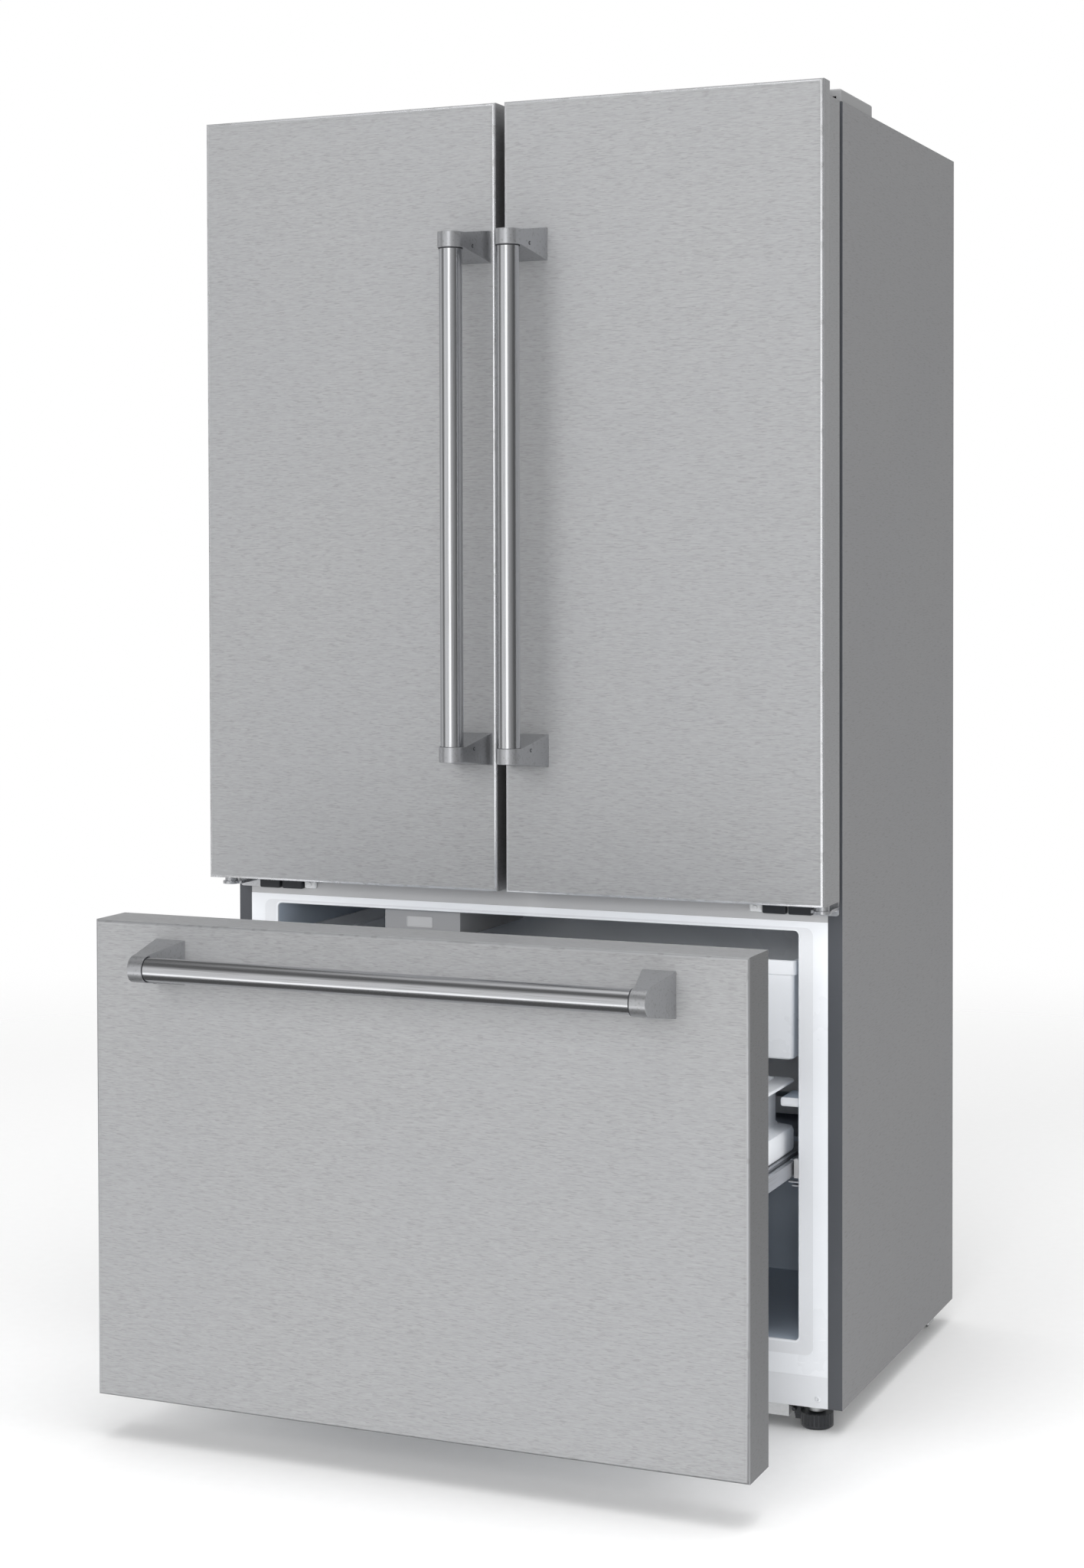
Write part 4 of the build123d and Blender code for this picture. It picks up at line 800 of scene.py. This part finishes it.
# ---- inner door sheets, gaskets, bins and the flipping mullion ----
# The inside of each door is a white sheet with a raised dyke that holds three clear bins. A ribbed magnetic
# gasket is pushed into a groove round it. The mullion hinged on the left door turns as the door opens.
rubber = moulded("grey gasket rubber", (0.13, 0.135, 0.145), 0.55, 500.0, 0.05)
for side in ("left", "right"):
    body = side + "_door"
    sheet = from_node(body + "_inner_panel")
    ease(sheet, 1.5, 3)
    piece(body + "_lining", sheet, body, [white], [body + "_inner_panel"])
    bins = from_node(body + "_bins")
    ease(bins, 1.3, 3)
    piece(body + "_clear_bins", bins, body, [clear], [body + "_bins"])
mullion = from_node("centre_mullion")
ease(mullion, 0.6, 2)
matt_black = moulded("matt black mullion", (0.012, 0.0125, 0.014), 0.6, 700.0, 0.05, Specular_IOR_Level=0.12)
piece("flipping_mullion", mullion, "centre_mullion", [matt_black], ["centre_mullion"])

lining = from_node("drawer_inner_panel")
ease(lining, 0.6, 2)
piece("drawer_lining", lining, "freezer_drawer", [white], ["drawer_inner_panel"])

RIBS = ((0.0, 0.0), (0.0, 4.0), (3.0, 5.0), (3.0, 6.5), (0.5, 7.5), (0.5, 9.0), (2.0, 10.0), (2.0, 12.6),
        (2.6, 13.3), (15.4, 13.3), (16.0, 12.6), (16.0, 10.0), (17.5, 9.0), (17.5, 7.5), (15.0, 6.5),
        (15.0, 5.0), (18.0, 4.0), (18.0, 0.0))
for body, node in (("left_door", "left_door_gasket"), ("right_door", "right_door_gasket"),
                   ("freezer_drawer", "drawer_gasket")):
    low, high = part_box(node)
    hoops = [((low.x + inset * MM, high.x - inset * MM), (low.z + inset * MM, high.z - inset * MM),
              -(low.y + out * MM), max(1.0, 9.0 - inset * 0.4)) for inset, out in RIBS]
    seal = bmesh.new()
    add_shell(seal, hoops + [hoops[0]], FACING, False, False)
    bmesh.ops.remove_doubles(seal, verts=seal.verts, dist=0.01 * MM)
    piece(node + "_bellows", seal, body, [rubber], [node])


# ---- foam ----
# Rigid polyurethane foam is blown in between the outer sheets and the liners of the cabinet, the doors and
# the drawer front, where it sets hard. The finished object hides it.
foam = moulded("rigid foam", (0.82, 0.7, 0.42), 0.9, 160.0, 0.5, 0.08)
for node in ("cabinet_foam", "left_door_foam", "right_door_foam", "drawer_foam"):
    refinish(node, foam)


# ---- machine compartment ----
# Behind a louvred zinc cover at the foot of the back stand the compressor on grommets, the condenser with
# its fan and shroud, the drain pan, the water valve and the cord gland.
compressor_paint = moulded("compressor black paint", (0.016, 0.016, 0.018), 0.3, 200.0, 0.1)
valve_white = moulded("valve nylon", (0.72, 0.72, 0.66), 0.4)
for node, finish, slot, width in (("compressor", compressor_paint, "black_paint", 1.5),
                                  ("condenser_shroud", black, "black_plastic", 0.6),
                                  ("drain_pan", black, "black_plastic", 0.5),
                                  ("water_valve", valve_white, "valve_plastic", 0.8),
                                  ("cord_inlet", black, "black_plastic", 0.4),
                                  ("base_pan", zinc, "galvanised_steel", 0.3)):
    part = from_node(node)
    ease(part, width, 2)
    piece(node + "_finished", part, "cabinet", [finish], [node])
refinish("condenser_coil", compressor_paint)

cover = from_node("machine_cover")
cover_low, cover_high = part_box("machine_cover")
ease(cover, 0.3, 1)
SCREW_SHARES = (0.015, 0.3, 0.7, 0.985)
places = [(cover_low.x + (cover_high.x - cover_low.x) * share, cover_high.y, z) for share in SCREW_SHARES
          for z in (cover_high.z - 10 * MM, cover_low.z + 12 * MM)]
add_screws(cover, places, "y")
piece("machine_cover_louvred", cover, "cabinet", [zinc], ["machine_cover"])


# ---- feet, rollers and the toe bracket ----
# Ribbed black levelling feet turn on studs under the front corners, and nylon rollers carry the back. A
# curved dark bracket reaches from the toe beam to each foot and is pinned to the pan.
for side in ("left", "right"):
    for node in (side + "_levelling_foot", side + "_rear_roller"):
        foot = from_node(node)
        ease(foot, 0.4, 1)
        piece(node + "_moulding", foot, node, [black], [node])

BRACKET_STEPS = 8
BRACKET_DROP = 22.0
STEP_HEIGHT = 3.2
TOE_IN = 374 * MM
TOE_OUT = 390 * MM
toe = bmesh.new()
foot_low, foot_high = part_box("right_levelling_foot")
pan_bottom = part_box("base_cover")[0].z
for side in (-1, 1):
    for step in range(BRACKET_STEPS):
        first = step / BRACKET_STEPS * math.pi / 2
        drop = math.sin(first) * BRACKET_DROP * MM
        ends = sorted((side * (TOE_IN + drop * 0.3), side * (TOE_OUT - 0.5 * MM)))
        top = pan_bottom - step * STEP_HEIGHT * MM
        add_block(toe, (ends[0], foot_low.y + 10 * MM + drop * 0.4, top - 3.6 * MM),
                  (ends[1], foot_low.y + 34 * MM, top), 0.6)
    add_lathe(toe, [(0, -3), (2.6, -3), (3, -2), (3, 2), (0, 2)], "y",
              (side * (TOE_IN + 8 * MM), foot_low.y + 9 * MM, pan_bottom - 10 * MM), 14)
piece("toe_brackets", toe, "cabinet", [black])


# ---- studio ----
# A pale paper floor that fades into a white surround. The surround mirrors in the steel as one narrow
# upright strip and broad dim sides, and four soft lamps that do not mirror light the paint and plastic.
FLOOR_RADIUS = 9.0
SOLID_REACH = 1.5
CLEAR_REACH = 4.2
floor_bm = bmesh.new()
bmesh.ops.create_circle(floor_bm, cap_ends=True, segments=64, radius=FLOOR_RADIUS)
floor_mesh = bpy.data.meshes.new("studio_floor")
floor_bm.to_mesh(floor_mesh)
floor_bm.free()
floor = bpy.data.objects.new("studio_floor", floor_mesh)
bpy.context.scene.collection.objects.link(floor)
paper, paper_shader, place = new_finish("studio paper")
grain = noise(place, 60.0, 3.0)
blend(grain, (0.9, 0.9, 0.9), (0.93, 0.93, 0.93)).feed(paper_shader, "Base Color")
(grain * 0.1 + 0.75).feed(paper_shader, "Roughness")
reach = place.node("ShaderNodeVectorMath", {"operation": "LENGTH"}, {0: place}, out=1)
(1 - smooth_step(reach, SOLID_REACH, CLEAR_REACH)).feed(paper_shader, "Alpha")
raise_grain(grain, paper_shader, 0.2, 0.2 * MM)
floor_mesh.materials.append(paper)
floor.visible_glossy = False

world = bpy.data.worlds.new("studio surround")
world.use_nodes = True
bpy.context.scene.world = world
sky = Wire(world.node_tree, world.node_tree.nodes.new("ShaderNodeTexCoord").outputs["Generated"])
part = [sky.node("ShaderNodeSeparateXYZ", {}, {"Vector": sky}, out=index) for index in range(3)]
turned = part[0].math("ARCTAN2", part[0], part[1] * -1.0)
# Brightness round the room, from and back to straight behind the cabinet.
SURROUND = ((0.0, 0.46), (0.2, 0.5), (0.27, 0.6), (0.315, 0.16), (0.355, 0.2), (0.38, 0.78), (0.44, 0.72),
            (0.49, 0.66), (0.5, 1.8), (0.535, 1.8), (0.56, 0.5), (0.64, 0.3), (0.72, 0.1), (0.83, 0.12),
            (0.89, 0.4), (1.0, 0.46))
around = turned.node("ShaderNodeValToRGB", {"stops": SURROUND}, {"Fac": turned * (1 / math.tau) + 0.5})
# Brightness from straight below to straight above: the drawer's level bar picks up its pale strip and dark
# bands.
HEIGHTS = ((0.0, 0.1), (0.12, 0.1), (0.2, 0.3), (0.235, 1.7), (0.3, 1.6), (0.35, 0.74), (0.62, 0.7),
           (0.72, 0.5), (0.82, 0.12), (0.93, 0.14), (0.97, 0.9), (1.0, 0.95))
STEEP_FROM = 0.3
STEEP_FULL = 0.42
tiers = part[2].node("ShaderNodeValToRGB", {"stops": HEIGHTS}, {"Fac": part[2] * 0.5 + 0.5})
steep = smooth_step(part[2].math("ABSOLUTE", part[2], 0.0), STEEP_FROM, STEEP_FULL)
mirrored = around * (1 - steep) + tiers * steep
seen = sky.node("ShaderNodeLightPath", {}, {}, out=0)
glossy = sky.node("ShaderNodeLightPath", {}, {}, out=3)
DIFFUSE_LEVEL = 0.62
level = mirrored * glossy + (1 - glossy) * DIFFUSE_LEVEL
(level * (1 - seen) + seen).feed(world.node_tree.nodes["Background"], "Strength")
world.node_tree.nodes["Background"].inputs["Color"].default_value = (1, 1, 1, 1)


def lamp(name, place, target, size, watts):
    light = bpy.data.lights.new(name, "AREA")
    light.shape = "RECTANGLE"
    light.size = size[0]
    light.size_y = size[1]
    light.energy = watts
    stand = bpy.data.objects.new(name, light)
    stand.location = place
    stand.rotation_euler = (Vector(target) - Vector(place)).to_track_quat("-Z", "Y").to_euler()
    stand.visible_glossy = False
    bpy.context.scene.collection.objects.link(stand)


lamp("front fill", (-2.4, -9.0, 4.4), (0, 0, 0.7), (4.0, 4.0), 360)
lamp("low front fill", (1.6, -7.0, 1.7), (0.2, 0, 0.6), (3.0, 2.0), 210)
lamp("side fill", (4.6, -0.6, 1.6), (0.4, 0, 0.9), (2.4, 2.4), 42)
lamp("overhead", (0.4, -0.4, 4.6), (0, 0, 0), (3.5, 3.5), 120)

CAMERA_PLACE = (1.4638, -3.4598, 1.1650)
CAMERA_TURN = 23.32
CAMERA_DIP = 1.39
CAMERA_ROLL = -0.15
LENS = 61.47
SHIFT = (0.0115, -0.1024)
camera_data = bpy.data.cameras.new("camera")
camera_data.lens = LENS
camera_data.shift_x, camera_data.shift_y = SHIFT
camera = bpy.data.objects.new("camera", camera_data)
turn = Matrix.Rotation(math.radians(CAMERA_TURN), 4, "Z")
tilt = Matrix.Rotation(math.radians(90 - CAMERA_DIP), 4, "X")
roll = Matrix.Rotation(math.radians(CAMERA_ROLL), 4, "Z")
camera.matrix_world = Matrix.Translation(CAMERA_PLACE) @ (turn @ tilt) @ roll
bpy.context.scene.collection.objects.link(camera)
bpy.context.scene.camera = camera
bpy.context.scene.view_settings.view_transform = "Standard"
